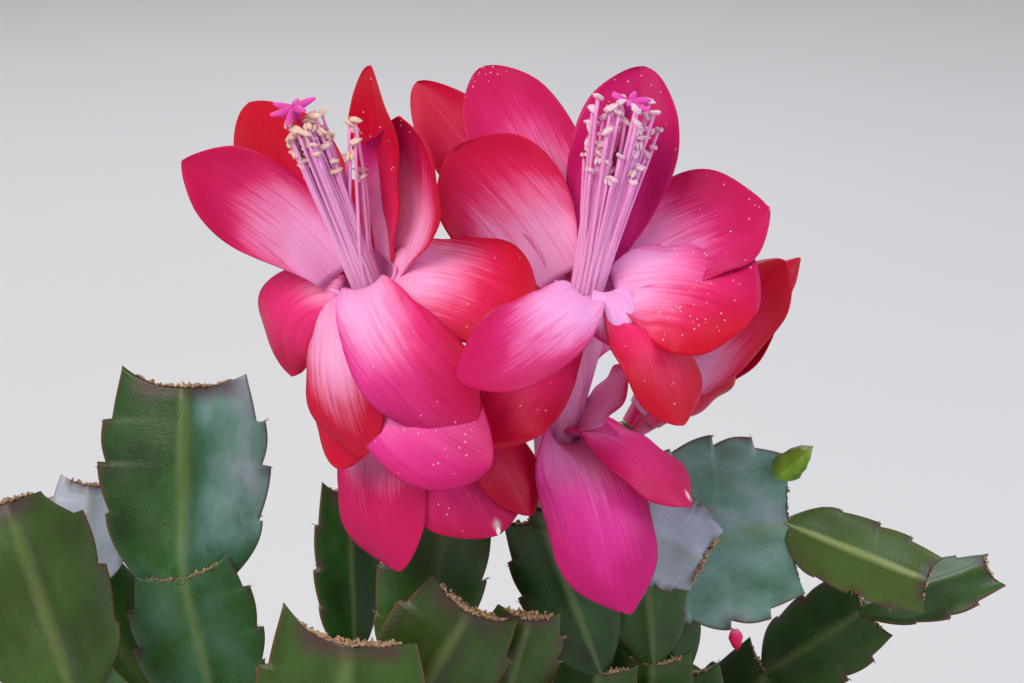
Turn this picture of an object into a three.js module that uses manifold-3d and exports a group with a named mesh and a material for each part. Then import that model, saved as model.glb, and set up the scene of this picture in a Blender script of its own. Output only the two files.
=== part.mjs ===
// A christmas cactus in bloom in a terracotta pot. Millimetres, +Z up.
// The origin is the centre of the pot's flat underside. -Y is the side with the two open flowers' faces.
//
// The plant is a crown of leafy stems. Each stem is a chain of flat joints grown end to end, so it is
// one body. Each flower is a hollow tube with petals in layers, a tuft of stamens and a style, on a
// green ovary.

import * as THREE from 'three'
import { mergeVertices } from 'three/addons/utils/BufferGeometryUtils.js'
import Module from 'manifold-3d'

const wasm = await Module()
wasm.setup()

// ---------------------------------------------------------------- driving dimensions

const FIT = 0.3                 // clear gap between two pieces that rest on or in one another

const POT_HEIGHT = 105
const POT_FOOT_RADIUS = 44
const POT_RIM_RADIUS = 65
const POT_RIM_HEIGHT = 24       // the thicker band round the top
const POT_RIM_STEP = 3.5        // how far the band stands out from the side
const POT_WALL = 6
const POT_FLOOR = 8
const DRAIN_HOLES = 4
const DRAIN_RADIUS = 5
const DRAIN_CIRCLE = 24         // distance of the drain holes from the middle

const SOIL_TOP = 94             // height of the soil's surface at the middle
const SOIL_CROWN = 2            // how far it falls to the pot's wall
const FOOT_WIDTH = 5            // a stem's foot in the soil
const FOOT_DEPTH = 9
const HOLE_RADIUS = 3.6         // plain hole in the soil round a foot

const JOINT_RIDGE = 1.7         // half the thickness of a joint along its midrib
const JOINT_MARGIN = 0.5        // half the thickness at its margin
const WOOD_RIDGE = 2            // the same two measures of an old woody joint
const WOOD_MARGIN = 1.1
const NECK = 2.6                // width of the neck where one joint grows from another

const PETAL_THICK = 0.8
const TUBE_WALL = 1.2
const TUBE_FLOOR = 3
const OVARY_LENGTH = 9
const OVARY_RADIUS = 2.6
const FILAMENT_RADIUS = 0.38
const ANTHER_LONG = 2.6
const ANTHER_WIDE = 1.5
const TUFT_LOW = 8              // height of the ring that the filaments rise from
const THROAT = 39.5             // height of the tube's lip, where the tuft spreads
const STYLE_RADIUS = 0.65

const rad = THREE.MathUtils.degToRad
const vec = (x, y, z) => new THREE.Vector3(x, y, z)
const mix = (a, b, t) => a + (b - a) * t
const ease = (from, to, x) => THREE.MathUtils.smoothstep(x, from, to)

// ---------------------------------------------------------------- materials

const finish = (color, roughness) => new THREE.MeshStandardMaterial({ color, roughness, metalness: 0 })
const TERRACOTTA = finish('#b5673f', 0.9)
const SOIL = finish('#33241b', 1)
const GREEN = finish('#3c6a34', 0.45)
const YOUNG_GREEN = finish('#6f9a4d', 0.45)
const PETAL_PINK = finish('#d8265f', 0.5)
const FILAMENT_PINK = finish('#ecb4dc', 0.5)
const STIGMA_MAGENTA = finish('#c4257f', 0.5)
const BUD_RED = finish('#c81e46', 0.5)

// ---------------------------------------------------------------- closed bodies, joins and cuts

function toSolid(geometry) {
  const bare = geometry.clone()
  bare.deleteAttribute('normal')
  bare.deleteAttribute('uv')
  const merged = mergeVertices(bare, 1e-3)
  return new wasm.Manifold(new wasm.Mesh({
    numProp: 3,
    vertProperties: new Float32Array(merged.attributes.position.array),
    triVerts: new Uint32Array(merged.index.array),
  }))
}

function toGeometry(solid) {
  const mesh = solid.getMesh()
  const geometry = new THREE.BufferGeometry()
  geometry.setAttribute('position', new THREE.BufferAttribute(mesh.vertProperties, 3))
  geometry.setIndex(new THREE.BufferAttribute(mesh.triVerts, 1))
  return geometry
}

const join = (solids) => solids.reduce((whole, piece) => whole.add(piece))

// The largest body of a solid, without the scraps that a join can leave.
function mainBody(solid) {
  const bodies = solid.decompose()
  return bodies.reduce((best, body) => (body.volume() > best.volume() ? body : best))
}

function meshOf(points, index) {
  const geometry = new THREE.BufferGeometry()
  geometry.setAttribute('position', new THREE.Float32BufferAttribute(points.flatMap((p) => p.toArray()), 3))
  geometry.setIndex(index)
  return geometry
}

// A solid of the geometry, with its faces turned to point out where they point in.
function outward(geometry) {
  const solid = toSolid(geometry)
  if (solid.volume() > 0) return solid
  const other = geometry.clone()
  const index = Array.from(geometry.index.array)
  for (let k = 0; k < index.length; k += 3) {
    const first = index[k]
    index[k] = index[k + 1]
    index[k + 1] = first
  }
  other.setIndex(index)
  return toSolid(other)
}

// A closed body between two grids of points that face each other, split into triangles alike on both faces.
function slab(front, back) {
  const rows = front.length
  const columns = front[0].length
  const points = [...front.flat(), ...back.flat()]
  const index = []
  const f = (i, j) => i * columns + j
  const b = (i, j) => rows * columns + i * columns + j
  const quad = (p, q, r, s) => index.push(p, q, r, p, r, s)
  for (let i = 0; i < rows - 1; i += 1) {
    for (let j = 0; j < columns - 1; j += 1) {
      quad(f(i, j), f(i, j + 1), f(i + 1, j + 1), f(i + 1, j))
      index.push(b(i, j), b(i + 1, j + 1), b(i, j + 1), b(i, j), b(i + 1, j), b(i + 1, j + 1))
    }
    quad(f(i, 0), f(i + 1, 0), b(i + 1, 0), b(i, 0))
    quad(f(i + 1, columns - 1), f(i, columns - 1), b(i, columns - 1), b(i + 1, columns - 1))
  }
  for (let j = 0; j < columns - 1; j += 1) {
    quad(f(0, j + 1), f(0, j), b(0, j), b(0, j + 1))
    quad(f(rows - 1, j), f(rows - 1, j + 1), b(rows - 1, j + 1), b(rows - 1, j))
  }
  return outward(meshOf(points, index))
}

// A round body turned about the line from `base` along `axis`: profile points are [height, radius].
function turned(base, axis, profile, sides) {
  const points = profile.map(([height, radius]) => new THREE.Vector2(radius, height))
  const geometry = new THREE.LatheGeometry(points, sides)
  geometry.applyQuaternion(new THREE.Quaternion().setFromUnitVectors(vec(0, 1, 0), axis))
  geometry.translate(base.x, base.y, base.z)
  return outward(geometry)
}

// A thread of constant radius along hand-set points, with few sides.
function thread(points, radius, sides) {
  const rings = points.map((point, i) => {
    const before = points[Math.max(i - 1, 0)]
    const after = points[Math.min(i + 1, points.length - 1)]
    const along = after.clone().sub(before).normalize()
    const side = vec(1, 0.3, 0).cross(along).normalize()
    const other = along.clone().cross(side)
    return Array.from({ length: sides }, (_, k) => {
      const turn = (2 * Math.PI * k) / sides
      return point.clone()
        .addScaledVector(side, radius * Math.cos(turn))
        .addScaledVector(other, radius * Math.sin(turn))
    })
  })
  const index = []
  for (let i = 0; i < rings.length - 1; i += 1) {
    for (let k = 0; k < sides; k += 1) {
      const next = (k + 1) % sides
      const a = i * sides + k
      const c = i * sides + next
      index.push(a, c, c + sides, a, c + sides, a + sides)
    }
  }
  const last = (rings.length - 1) * sides
  for (let k = 1; k < sides - 1; k += 1) index.push(0, k + 1, k, last, last + k, last + k + 1)
  return outward(meshOf(rings.flat(), index))
}

// A small grain, longer than wide: an octahedron stretched along `axis`.
function grain(centre, axis, long, wide) {
  const geometry = new THREE.OctahedronGeometry(1)
  geometry.scale(wide / 2, long / 2, wide / 2)
  geometry.applyQuaternion(new THREE.Quaternion().setFromUnitVectors(vec(0, 1, 0), axis))
  geometry.translate(centre.x, centre.y, centre.z)
  return toSolid(geometry)
}

// Repeatable random numbers from 0 to 1.
function seeded(seed) {
  let state = seed
  return () => {
    state = (state * 1664525 + 1013904223) % 4294967296
    return state / 4294967296
  }
}

// ---------------------------------------------------------------- pot and soil

// The upright plug that a round hole is cut with.
const drill = (low, radius, deep, sides) => (
  turned(low, vec(0, 0, 1), [[0, 0], [0, radius], [deep, radius], [deep, 0]], sides)
)

const potRadius = (z) => mix(POT_FOOT_RADIUS, POT_RIM_RADIUS - POT_RIM_STEP, z / POT_HEIGHT)

function makePot() {
  const rimStart = POT_HEIGHT - POT_RIM_HEIGHT
  const up = vec(0, 0, 1)
  const pot = turned(vec(0, 0, 0), up, [
    [0, 0],
    [0, POT_FOOT_RADIUS - 1],
    [1, potRadius(1)],
    [rimStart, potRadius(rimStart)],
    [rimStart + 2, potRadius(rimStart) + POT_RIM_STEP],
    [POT_HEIGHT - 1.5, POT_RIM_RADIUS],
    [POT_HEIGHT, POT_RIM_RADIUS - 1.5],
    [POT_HEIGHT, potRadius(POT_HEIGHT) - POT_WALL + 1.5],
    [POT_HEIGHT - 1.5, potRadius(POT_HEIGHT) - POT_WALL],
    [POT_FLOOR, potRadius(POT_FLOOR) - POT_WALL],
    [POT_FLOOR, 0],
  ], 24)
  const holes = Array.from({ length: DRAIN_HOLES }, (_, k) => {
    const turn = (2 * Math.PI * (k + 0.5)) / DRAIN_HOLES
    const low = vec(DRAIN_CIRCLE * Math.cos(turn), DRAIN_CIRCLE * Math.sin(turn), -1)
    return drill(low, DRAIN_RADIUS, POT_FLOOR + 2, 8)
  })
  return pot.subtract(join(holes))
}

function makeSoil(feet) {
  const inner = (z) => potRadius(z) - POT_WALL - FIT
  const bottom = POT_FLOOR + FIT
  const edge = SOIL_TOP - SOIL_CROWN
  const up = vec(0, 0, 1)
  const body = turned(vec(0, 0, 0), up, [
    [bottom, 0], [bottom, inner(bottom)], [edge, inner(edge)], [SOIL_TOP, 0],
  ], 24)
  const holes = feet.map((foot) => (
    drill(vec(foot.x, foot.y, SOIL_TOP - FOOT_DEPTH - FIT), HOLE_RADIUS, FOOT_DEPTH + 5, 5)
  ))
  return body.subtract(join(holes))
}

// ---------------------------------------------------------------- leafy stems

// Outline of a joint: share of its length, share of its half width, and how far the row's ends run ahead.
const SHOWN_ROWS = [
  [0, 0.1, 0], [0.14, 0.62, 0], [0.31, 0.94, 0.02], [0.36, 0.86, 0.01], [0.56, 1.04, 0.02],
  [0.61, 0.94, 0.01], [0.8, 0.96, 0.02], [0.85, 0.85, 0.01], [1, 0.74, 0.07],
]
const PLAIN_ROWS = [
  [0, 0.1, 0], [0.24, 0.76, 0], [0.56, 1.04, 0.03], [0.66, 0.9, 0.01], [1, 0.74, 0.07],
]
const SPROUT_ROWS = [[0, 0.4, 0], [0.3, 1, 0], [0.58, 0.8, 0], [0.82, 0.5, 0], [1, 0.1, 0]]
const COLUMNS = [-1, 0, 1]

// Some end joints differ: the share of the half width at the neck and at the end, and how far the left
// and the right horn run ahead, as a share of the usual.
const USUAL_FORM = { neck: 0.1, tip: 0.74, horns: [1, 1] }

const halfThickness = (t) => mix(JOINT_RIDGE, JOINT_MARGIN, Math.abs(t))

// One flat joint from its neck at `from` to its cut-off end at `to`. `face` is the way its flat side looks.
function joint(from, to, width, face, rows, form = {}) {
  const { neck, tip, horns } = { ...USUAL_FORM, ...form }
  const cup = -0.2
  const along = to.clone().sub(from)
  const length = along.length()
  along.normalize()
  const out = face.clone().addScaledVector(along, -face.dot(along)).normalize()
  const side = out.clone().cross(along)
  const own = rows === SPROUT_ROWS ? rows : rows.map(([share, wide, ahead]) => {
    if (share === 0) return [share, neck, ahead]
    if (share === 1) return [share, tip, ahead]
    return [share, share < 0.2 ? Math.max(wide, mix(neck, 1, 0.5)) : wide, ahead]
  })
  const sheet = (way) => own.map(([share, wide, ahead]) => COLUMNS.map((t) => {
    const half = Math.max((width / 2) * wide, share < 0.5 ? NECK / 2 : 0.6)
    const bend = half * (1 - Math.cos(cup * t)) / cup
    const lead = ahead * length * Math.abs(t) * (share === 1 ? horns[t > 0 ? 0 : 1] : 1)
    const thick = halfThickness(t) * mix(0.75, 1, ease(0, 0.2, share))
    return from.clone()
      .addScaledVector(along, length * share + lead)
      .addScaledVector(side, half * Math.sin(cup * t) / cup)
      .addScaledVector(out, bend + way * thick)
  }))
  return slab(sheet(1), sheet(-1))
}

// The old, woody first joint: straight up out of the soil at `foot`, then leaning to its end at `to`.
function trunk(foot, to, width, face) {
  const surface = vec(foot.x, foot.y, SOIL_TOP + 1)
  const centres = [vec(foot.x, foot.y, SOIL_TOP - FOOT_DEPTH), surface, surface.clone().lerp(to, 0.55), to]
  const widths = [FOOT_WIDTH * 0.8, FOOT_WIDTH, width, width * 0.75]
  const side = face.clone().cross(vec(0, 0, 1)).normalize()
  const out = side.clone().cross(vec(0, 0, 1))
  const sheet = (way) => centres.map((centre, i) => COLUMNS.map((t) => centre.clone()
    .addScaledVector(side, (widths[i] / 2) * t)
    .addScaledVector(out, way * mix(WOOD_RIDGE, WOOD_MARGIN, Math.abs(t)))))
  return slab(sheet(1), sheet(-1))
}

// A stem: hand-set ends of its joints from the soil up, the width of each joint and the way each one
// faces. The first joint is the old, narrow, woody one. `forks` are more joints, each from the end of
// joint `at`.
const stemPlan = (points, widths, faces, more = {}) => ({
  points: points.map((p) => vec(...p)),
  widths,
  faces: faces.map((f) => vec(...f)),
  forks: [],
  shownFrom: 2,
  ...more,
})

function makeStem(plan) {
  const { points, widths, faces, forks, shownFrom, boss, form } = plan
  const solids = [trunk(points[0], points[1], widths[0], faces[0])]
  const add = (from, to, width, face, rows, own) => {
    const back = to.clone().sub(from).setLength(1.5)
    solids.push(joint(from.clone().sub(back), to, width, face, rows, own))
  }
  for (let i = 1; i < points.length - 1; i += 1) {
    const last = i === points.length - 2
    const rows = i >= shownFrom ? SHOWN_ROWS : PLAIN_ROWS
    add(points[i], points[i + 1], widths[i], faces[i], rows, last ? form : {})
  }
  forks.forEach(({ at, to, width, face, shift = 0, rows = PLAIN_ROWS }) => {
    const end = points[at].clone()
    const along = end.clone().sub(points[at - 1]).normalize()
    const side = faces[at - 1].clone().cross(along).normalize()
    add(end.addScaledVector(side, shift), vec(...to), width, vec(...face), rows)
  })
  if (boss) solids.push(turned(boss.base, boss.axis, [[-5, 0], [-5, 1.6], [0, 2.2], [0, 0]], 6))
  return mainBody(join(solids))
}

// ---------------------------------------------------------------- flowers

// Where the two open flowers and the bud stand: the base of the tube and the way it points.
const LEFT_FLOWER = { base: vec(-9.9, -28.4, 212.7), axis: vec(-0.296, -0.224, 0.928).normalize() }
const RIGHT_FLOWER = { base: vec(13.3, -26.9, 207.7), axis: vec(0.18, -0.125, 0.976).normalize() }
const BUD = { base: vec(30, 3, 204), axis: vec(0.7, 0.14, 0.7).normalize() }

// Outside of the flower tube: [height, radius].
const TUBE = [[0, 3], [6, 4.4], [14, 4.2], [29, 5], [THROAT, 6.6]]
const TUBE_SIDES = 8

function tubeRadius(height) {
  const k = Math.max(TUBE.findIndex(([h]) => h >= height), 1)
  const [[h0, r0], [h1, r1]] = [TUBE[k - 1], TUBE[k]]
  return mix(r0, r1, THREE.MathUtils.clamp((height - h0) / (h1 - h0), 0, 1))
}

// One petal. `up` is where on the tube it grows, `round` the way it points (degrees: 0 is the front, 90
// the right), `lean` and `droop` its slope away from the flower's axis at its base and at its tip.
// `swell` is the share of its length at which it is widest.
const petal = (up, round, long, wide, lean, droop, more = {}) => ({
  up, round, long, wide, lean, droop,
  cup: 0.4, sweep: 0, roll: 0, curl: 0, claw: 0.38, swell: 0.58, bend: 2, ...more,
})

const PETAL_ROWS = [0, 0.24, 0.5, 0.75, 0.92, 1]
const PETAL_COLUMNS = [-1, -0.36, 0.36, 1]
const LOWER_COLUMNS = [-1, 0, 1]
const LOWER_UP = 37             // petals that grow lower than this on the tube get the plainer columns

function petalHalfWidth(shape, s) {
  const rise = mix(shape.claw, 1, Math.sin((Math.PI / 2) * Math.min(s / shape.swell, 1)) ** 1.2)
  const fall = Math.sqrt(Math.max(1 - Math.max((s - 0.58) / 0.42, 0) ** 2.2, 0))
  return Math.max((shape.wide / 2) * rise * fall * (1 - 0.12 * ease(0.8, 1, s)), 0.7)
}

function petalSolid(flower, shape) {
  const { base, axis } = flower
  const front = vec(0, -1, 0)
  const facing = front.clone().addScaledVector(axis, -front.dot(axis)).normalize()
  const across = axis.clone().cross(facing)
  const turn = rad(shape.round)
  const out = facing.clone().multiplyScalar(Math.cos(turn)).addScaledVector(across, Math.sin(turn))
  const sideways = axis.clone().cross(out)
  const radius = tubeRadius(shape.up) - TUBE_WALL * 0.6
  const columns = shape.up < LOWER_UP ? LOWER_COLUMNS : PETAL_COLUMNS
  const inside = []
  const outside = []
  const steps = 24
  const spot = base.clone().addScaledVector(axis, shape.up).addScaledVector(out, radius)
  const frameAt = (s) => {
    const slope = rad(mix(shape.lean, shape.droop, 1 - (1 - s) ** shape.bend) + shape.curl * ease(0.7, 1, s))
    const swing = rad(shape.sweep) * s
    const roll = rad(shape.roll)
    const plain = axis.clone().multiplyScalar(Math.cos(slope)).addScaledVector(out, Math.sin(slope))
    const inner = axis.clone().multiplyScalar(Math.sin(slope)).addScaledVector(out, -Math.cos(slope))
    const along = plain.clone().multiplyScalar(Math.cos(swing)).addScaledVector(sideways, Math.sin(swing))
    const side = plain.clone().multiplyScalar(-Math.sin(swing)).addScaledVector(sideways, Math.cos(swing))
    return {
      along,
      normal: inner.clone().multiplyScalar(Math.cos(roll)).addScaledVector(side, Math.sin(roll)),
      side: side.clone().multiplyScalar(Math.cos(roll)).addScaledVector(inner, -Math.sin(roll)),
    }
  }
  let walked = 0
  PETAL_ROWS.forEach((s) => {
    while (walked < Math.round(s * steps)) {
      const middle = frameAt((walked + 0.5) / steps)
      spot.addScaledVector(middle.along, shape.long / steps)
      walked += 1
    }
    const { normal, side } = frameAt(s)
    const half = petalHalfWidth(shape, s)
    const hug = ease(0, 0.3, s)
    const curve = mix(Math.min(half / radius, 1.3), shape.cup, hug)
    const place = (t, lift) => spot.clone()
      .addScaledVector(side, half * Math.sin(curve * t) / curve - lift * Math.sin(curve * t))
      .addScaledVector(normal, half * (1 - Math.cos(curve * t)) / curve + lift * Math.cos(curve * t))
    inside.push(columns.map((t) => place(t, 0)))
    outside.push(columns.map((t) => place(t, -PETAL_THICK)))
  })
  return slab(inside, outside)
}

function makePetals(flower, petals) {
  const { base, axis } = flower
  const floor = TUBE_FLOOR
  const inner = TUBE.filter(([h]) => h > floor).map(([h, r]) => [h, r - TUBE_WALL]).reverse()
  const profile = [[0, 0], ...TUBE, ...inner, [floor, tubeRadius(floor) - TUBE_WALL], [floor, 0]]
  const tube = turned(base, axis, profile, TUBE_SIDES)
  return mainBody(join([tube, ...petals.map((shape) => petalSolid(flower, shape))]))
}

// The tuft: filaments rise from a low ring in the tube, spread past the throat and end in anthers.
// Those of a group end between the heights `from` and `to`, up to `spread` from a middle that leans by
// `right` and by `away`.
function makeStamens(flower, groups, seed) {
  const { base, axis } = flower
  const draw = seeded(seed)
  const side = vec(1, 0, 0).addScaledVector(axis, -axis.x).normalize()
  const back = axis.clone().cross(side)
  const high = TUFT_LOW + 3
  const section = [[TUFT_LOW, 1.1], [TUFT_LOW, 2.6], [high, 2.6], [high, 1.1], [TUFT_LOW, 1.1]]
  const ring = turned(base, axis, section, 6)
  const solids = [ring]
  groups.forEach(({ count, from, to, spread, right, away, first }) => {
    for (let k = 0; k < count; k += 1) {
      const turn = first + (2 * Math.PI * (k + 0.3 * draw())) / count
      const reach = mix(from, to, draw())
      const fan = spread * (0.55 + 0.45 * draw())
      const at = (height, radius) => base.clone()
        .addScaledVector(axis, height)
        .addScaledVector(side, radius * Math.cos(turn) + right * ease(THROAT - 3, to, height))
        .addScaledVector(back, radius * Math.sin(turn) + away * ease(THROAT - 3, to, height))
      const points = [at(TUFT_LOW + 2, 1.6), at(THROAT, 1.9), at(reach, fan)]
      solids.push(thread(points, FILAMENT_RADIUS, 3))
      const tip = points[2]
      const along = tip.clone().sub(points[1]).normalize()
      const across = along.clone().cross(vec(draw() - 0.5, draw(), 0.2)).normalize()
      solids.push(grain(tip.clone().addScaledVector(along, 0.5), across, ANTHER_LONG, ANTHER_WIDE))
    }
  })
  return mainBody(join(solids))
}

const LEFT_TUFT = [
  { count: 8, from: 60, to: 70, spread: 3.8, right: -0.4, away: 0, first: 0.4 },
  { count: 3, from: 56, to: 72, spread: 1.8, right: 7.6, away: 1.5, first: 0 },
]
const RIGHT_TUFT = [
  { count: 8, from: 60, to: 70, spread: 6, right: -0.8, away: 0, first: 0.6 },
  { count: 3, from: 58, to: 69, spread: 4, right: 5, away: 1.5, first: 0.5 },
]

// The style with its spreading stigma lobes.
function makeStyle(flower, { height, bendX, lobes }) {
  const { base, axis } = flower
  const side = vec(1, 0, 0).addScaledVector(axis, -axis.x).normalize()
  const back = axis.clone().cross(side)
  const at = (h, x) => base.clone().addScaledVector(axis, h).addScaledVector(side, x)
  const top = at(height, bendX)
  const waist = at(mix(30, height, 0.55), bendX * 0.4)
  const solids = [thread([at(TUBE_FLOOR + FIT, 0), at(30, 0), waist, top], STYLE_RADIUS, 5)]
  const along = top.clone().sub(waist).normalize()
  for (let k = 0; k < lobes; k += 1) {
    const turn = (2 * Math.PI * k) / lobes
    const way = along.clone().multiplyScalar(0.9)
      .addScaledVector(side, 0.75 * Math.cos(turn)).addScaledVector(back, 0.75 * Math.sin(turn)).normalize()
    solids.push(grain(top.clone().addScaledVector(way, 2), way, 5.4, 1.9))
  }
  return mainBody(join(solids))
}

function makeOvary({ base, axis }) {
  const low = -FIT - OVARY_LENGTH
  const radius = OVARY_RADIUS
  return turned(base, axis, [
    [low, 0], [low, radius * 0.8], [low + 3, radius], [-2, radius * 1.05], [-FIT, radius * 0.95], [-FIT, 0],
  ], 10)
}

// The end of the stem that carries a flower: a round areole in line with the ovary.
const bossUnder = ({ base, axis }) => ({
  base: base.clone().addScaledVector(axis, -OVARY_LENGTH - 2 * FIT),
  axis,
})
const stemEndUnder = ({ base, axis }) => base.clone().addScaledVector(axis, -OVARY_LENGTH - 3.4).toArray()

const LEFT_PETALS = [
  petal(38.5, 255, 35.5, 17.5, 13, 44, { cup: 0.25, roll: 60 }),
  petal(37.5, 210, 36, 19, 10, 38, { cup: 0.05 }),
  petal(38.5, 122, 36.5, 18, 22, 13, { cup: 0.3, roll: 4 }),
  petal(37.5, 98, 31, 24, 50, 12, { cup: 0.7, curl: -30, roll: -30 }),
  petal(36.5, 63, 29.5, 24, 66, 126, { cup: -0.3, roll: -15 }),
  petal(38.5, 3, 39, 20, 66, 166, { cup: -0.5, sweep: 37 }),
  petal(36.5, 338, 35, 16, 66, 180, { cup: -0.5, bend: 1.6, sweep: 2 }),
  petal(35.5, 264, 27, 17, 52, 190, { cup: -0.4, bend: 1.5, roll: 45 }),
  petal(24, 352, 40, 22, 62, 142, { cup: -0.5, sweep: 60, swell: 0.42 }),
  petal(22, 325, 26, 16, 50, 150, { cup: -0.4 }),
  petal(8, 321, 34, 22, 62, 166, { cup: -0.4, claw: 0.7, sweep: 24 }),
  petal(5, 22, 31, 25, 50, 158, { cup: -0.4 }),
  petal(6, 48, 32.5, 15, 50, 160, { cup: -0.4, sweep: -16 }),
  petal(26, 190, 36, 18, 25, 80, { cup: -0.2 }),
  petal(22, 228, 27, 16, 35, 120, { cup: -0.3 }),
  petal(10, 200, 28, 15, 45, 135, { cup: -0.3 }),
]

const RIGHT_PETALS = [
  petal(37.5, 230, 42.5, 20.5, 20, 55, { cup: 0.1, roll: 32 }),
  petal(38.5, 168, 39, 20, 6, 22, { cup: 0.3 }),
  petal(33, 237, 49.5, 15.5, 43, 60, { roll: 55 }),
  petal(37.5, 256, 31, 24, 40, 59, { cup: 0.25, roll: 60 }),
  petal(37.5, 108, 33, 25, 30, 70, { cup: 0.3, roll: -25 }),
  petal(32, 135, 35, 18, 50, 94, { cup: -0.2 }),
  petal(37.5, 70, 28, 27, 44, 95, { cup: -0.3, roll: -35 }),
  petal(37.5, 352, 43, 16.5, 58, 118, { cup: -0.4, roll: 15, sweep: -46 }),
  petal(39, 30, 14, 14, 60, 150, { cup: -0.6 }),
  petal(36, 47, 30, 20, 62, 150, { cup: -0.4, swell: 0.45 }),
  petal(9, 56, 18, 11, 24, 32, { cup: -0.2, roll: -45 }),
  petal(26, 326, 31, 22, 46, 158, { cup: -0.4 }),
  petal(6, 22, 40.5, 22.5, 60, 165, { cup: -0.5, claw: 0.65, swell: 0.42, sweep: 23 }),
  petal(8, 60, 29, 18, 52, 122, { cup: -0.4 }),
  petal(26, 195, 38, 18, 25, 85, { cup: -0.2 }),
  petal(20, 150, 34, 17, 35, 110, { cup: -0.3 }),
  petal(10, 210, 28, 15, 45, 135, { cup: -0.3 }),
]

// ---------------------------------------------------------------- the plan of the stems

const FORWARD = [0, -1, 0.3]

const STEMS = {
  stem_left_upright: stemPlan(
    [[-14, -4, SOIL_TOP], [-34, -14, 122], [-52, -24, 152], [-58, -22, 182], [-58, -10, 217]],
    [10, 24, 25, 33],
    [[0.5, -0.6, 0.8], [0.4, -1, 0.5], [0.1, -1, 0.3], [0.1, -1, 0.35]],
    { form: { neck: 0.5, horns: [1.6, 1] } },
  ),
  stem_left_front: stemPlan(
    [[-16, -20, SOIL_TOP], [-34, -36, 114], [-58, -47, 136], [-76, -48, 167], [-89, -36, 203]],
    [10, 24, 26, 27],
    [[0.3, -1, 0.9], [0.3, -1, 0.9], [0.3, -1, 0.6], [0.25, -1, 0.3]],
    { form: { tip: 0.5, horns: [0, 0] } },
  ),
  stem_left_back: stemPlan(
    [[-20, 10, SOIL_TOP], [-46, 8, 116], [-68, 5, 142], [-81, -3, 172], [-79, 2, 192]],
    [10, 22, 24, 17],
    [[0.3, -1, 0.9], [0.3, -1, 0.9], [0.3, -1, 0.6], [0.1, -1, 0.35]],
  ),
  stem_front_horned: stemPlan(
    [[-6, -34, SOIL_TOP], [-18, -54, 116], [-27, -63, 146], [-24, -56, 183]],
    [10, 26, 34],
    [[0.1, -1, 1.2], [0.1, -1, 0.9], [0, -1, 0.2]],
    { form: { horns: [2.4, 0.3] } },
  ),
  stem_front_corky: stemPlan(
    [[4, -30, SOIL_TOP], [-4, -44, 124], [-19, -47, 156], [-2, -45, 185]],
    [10, 22, 25],
    [[0.1, -1, 0.7], [0, -1, 0.4], [0.1, -1, 0.1]],
  ),
  stem_flower_left: stemPlan(
    [[-6, -18, SOIL_TOP], [-10, -27, 128], [-13, -34, 165], stemEndUnder(LEFT_FLOWER)],
    [10, 20, 21],
    [FORWARD, FORWARD, [0.2, -1, 0]],
    { boss: bossUnder(LEFT_FLOWER) },
  ),
  stem_middle_back: stemPlan(
    [[-8, 4, SOIL_TOP], [-20, -4, 126], [-26, -15, 162], [-27, -7, 194]],
    [10, 20, 14],
    [FORWARD, FORWARD, [0.6, -1, 0.1]],
  ),
  stem_middle_brown: stemPlan(
    [[2, -8, SOIL_TOP], [7, -23, 128], [4, -37.5, 162], [9, -39, 181]],
    [10, 14, 17],
    [FORWARD, FORWARD, [0.2, -1, 0.1]],
  ),
  stem_flower_right: stemPlan(
    [[12, -20, SOIL_TOP], [17, -20, 129], [23, -24, 163], stemEndUnder(RIGHT_FLOWER)],
    [10, 20, 18],
    [FORWARD, FORWARD, [0.3, -1, 0.1]],
    { boss: bossUnder(RIGHT_FLOWER) },
  ),
  stem_right_pale: stemPlan(
    [[20, -6, SOIL_TOP], [31, -11, 128], [34, -17.5, 162], [31, -20.5, 192], [43, -22.5, 186]],
    [10, 20, 16, 19],
    [FORWARD, FORWARD, [0.1, -1, 0.2], [-0.3, -1, 0.3]],
    { form: { neck: 0.5 } },
  ),
  stem_right_large: stemPlan(
    [[24, 4, SOIL_TOP], [40, -3, 122], [40, -6, 154], [31, -9, 184], [61, -8, 187], [88.5, -10, 176]],
    [10, 22, 16, 38, 16],
    [FORWARD, FORWARD, [0.1, -1, 0.2], [0.1, -1, 0.3], [0.1, -1, 0.7]],
    { forks: [{ at: 4, to: [65, -8, 203.5], width: 6.5, face: FORWARD, shift: 11, rows: SPROUT_ROWS }] },
  ),
  stem_right_far: stemPlan(
    [[16, 18, SOIL_TOP], [40, 16, 118], [60, 12, 146], [79, 6, 163], [104, 8, 171]],
    [10, 22, 20, 18],
    [FORWARD, [-0.1, -1, 0.6], [-0.1, -1, 0.7], [0.1, -0.2, 1]],
  ),
  stem_bud: stemPlan(
    [[6, 8, SOIL_TOP], [14, 6, 128], [23, 5, 163], stemEndUnder(BUD)],
    [10, 20, 18],
    [FORWARD, FORWARD, [1, -0.3, -0.4]],
    { boss: bossUnder(BUD) },
  ),
}

// The rest of the crown: stems that arch out over the rim and hang, each forked at its last joint.
// Bearing in degrees (0 is +X, 90 is +Y), how far out the foot stands, the height of the arch, its
// reach, how far the last joints hang below it, and how far the stem bows to one side (degrees).
const FAN = [
  { bearing: 62, foot: 26, top: 132, reach: 100, hang: 40, bow: 6 },
  { bearing: 102, foot: 20, top: 124, reach: 110, hang: 54, bow: -5 },
  { bearing: 146, foot: 28, top: 130, reach: 104, hang: 44, bow: 7 },
  { bearing: 200, foot: 34, top: 114, reach: 106, hang: 50, bow: -3 },
  { bearing: 268, foot: 41, top: 126, reach: 102, hang: 58, bow: -6 },
  { bearing: 312, foot: 34, top: 120, reach: 106, hang: 46, bow: 5 },
  { bearing: 350, foot: 36, top: 124, reach: 108, hang: 52, bow: -6 },
]

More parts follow.
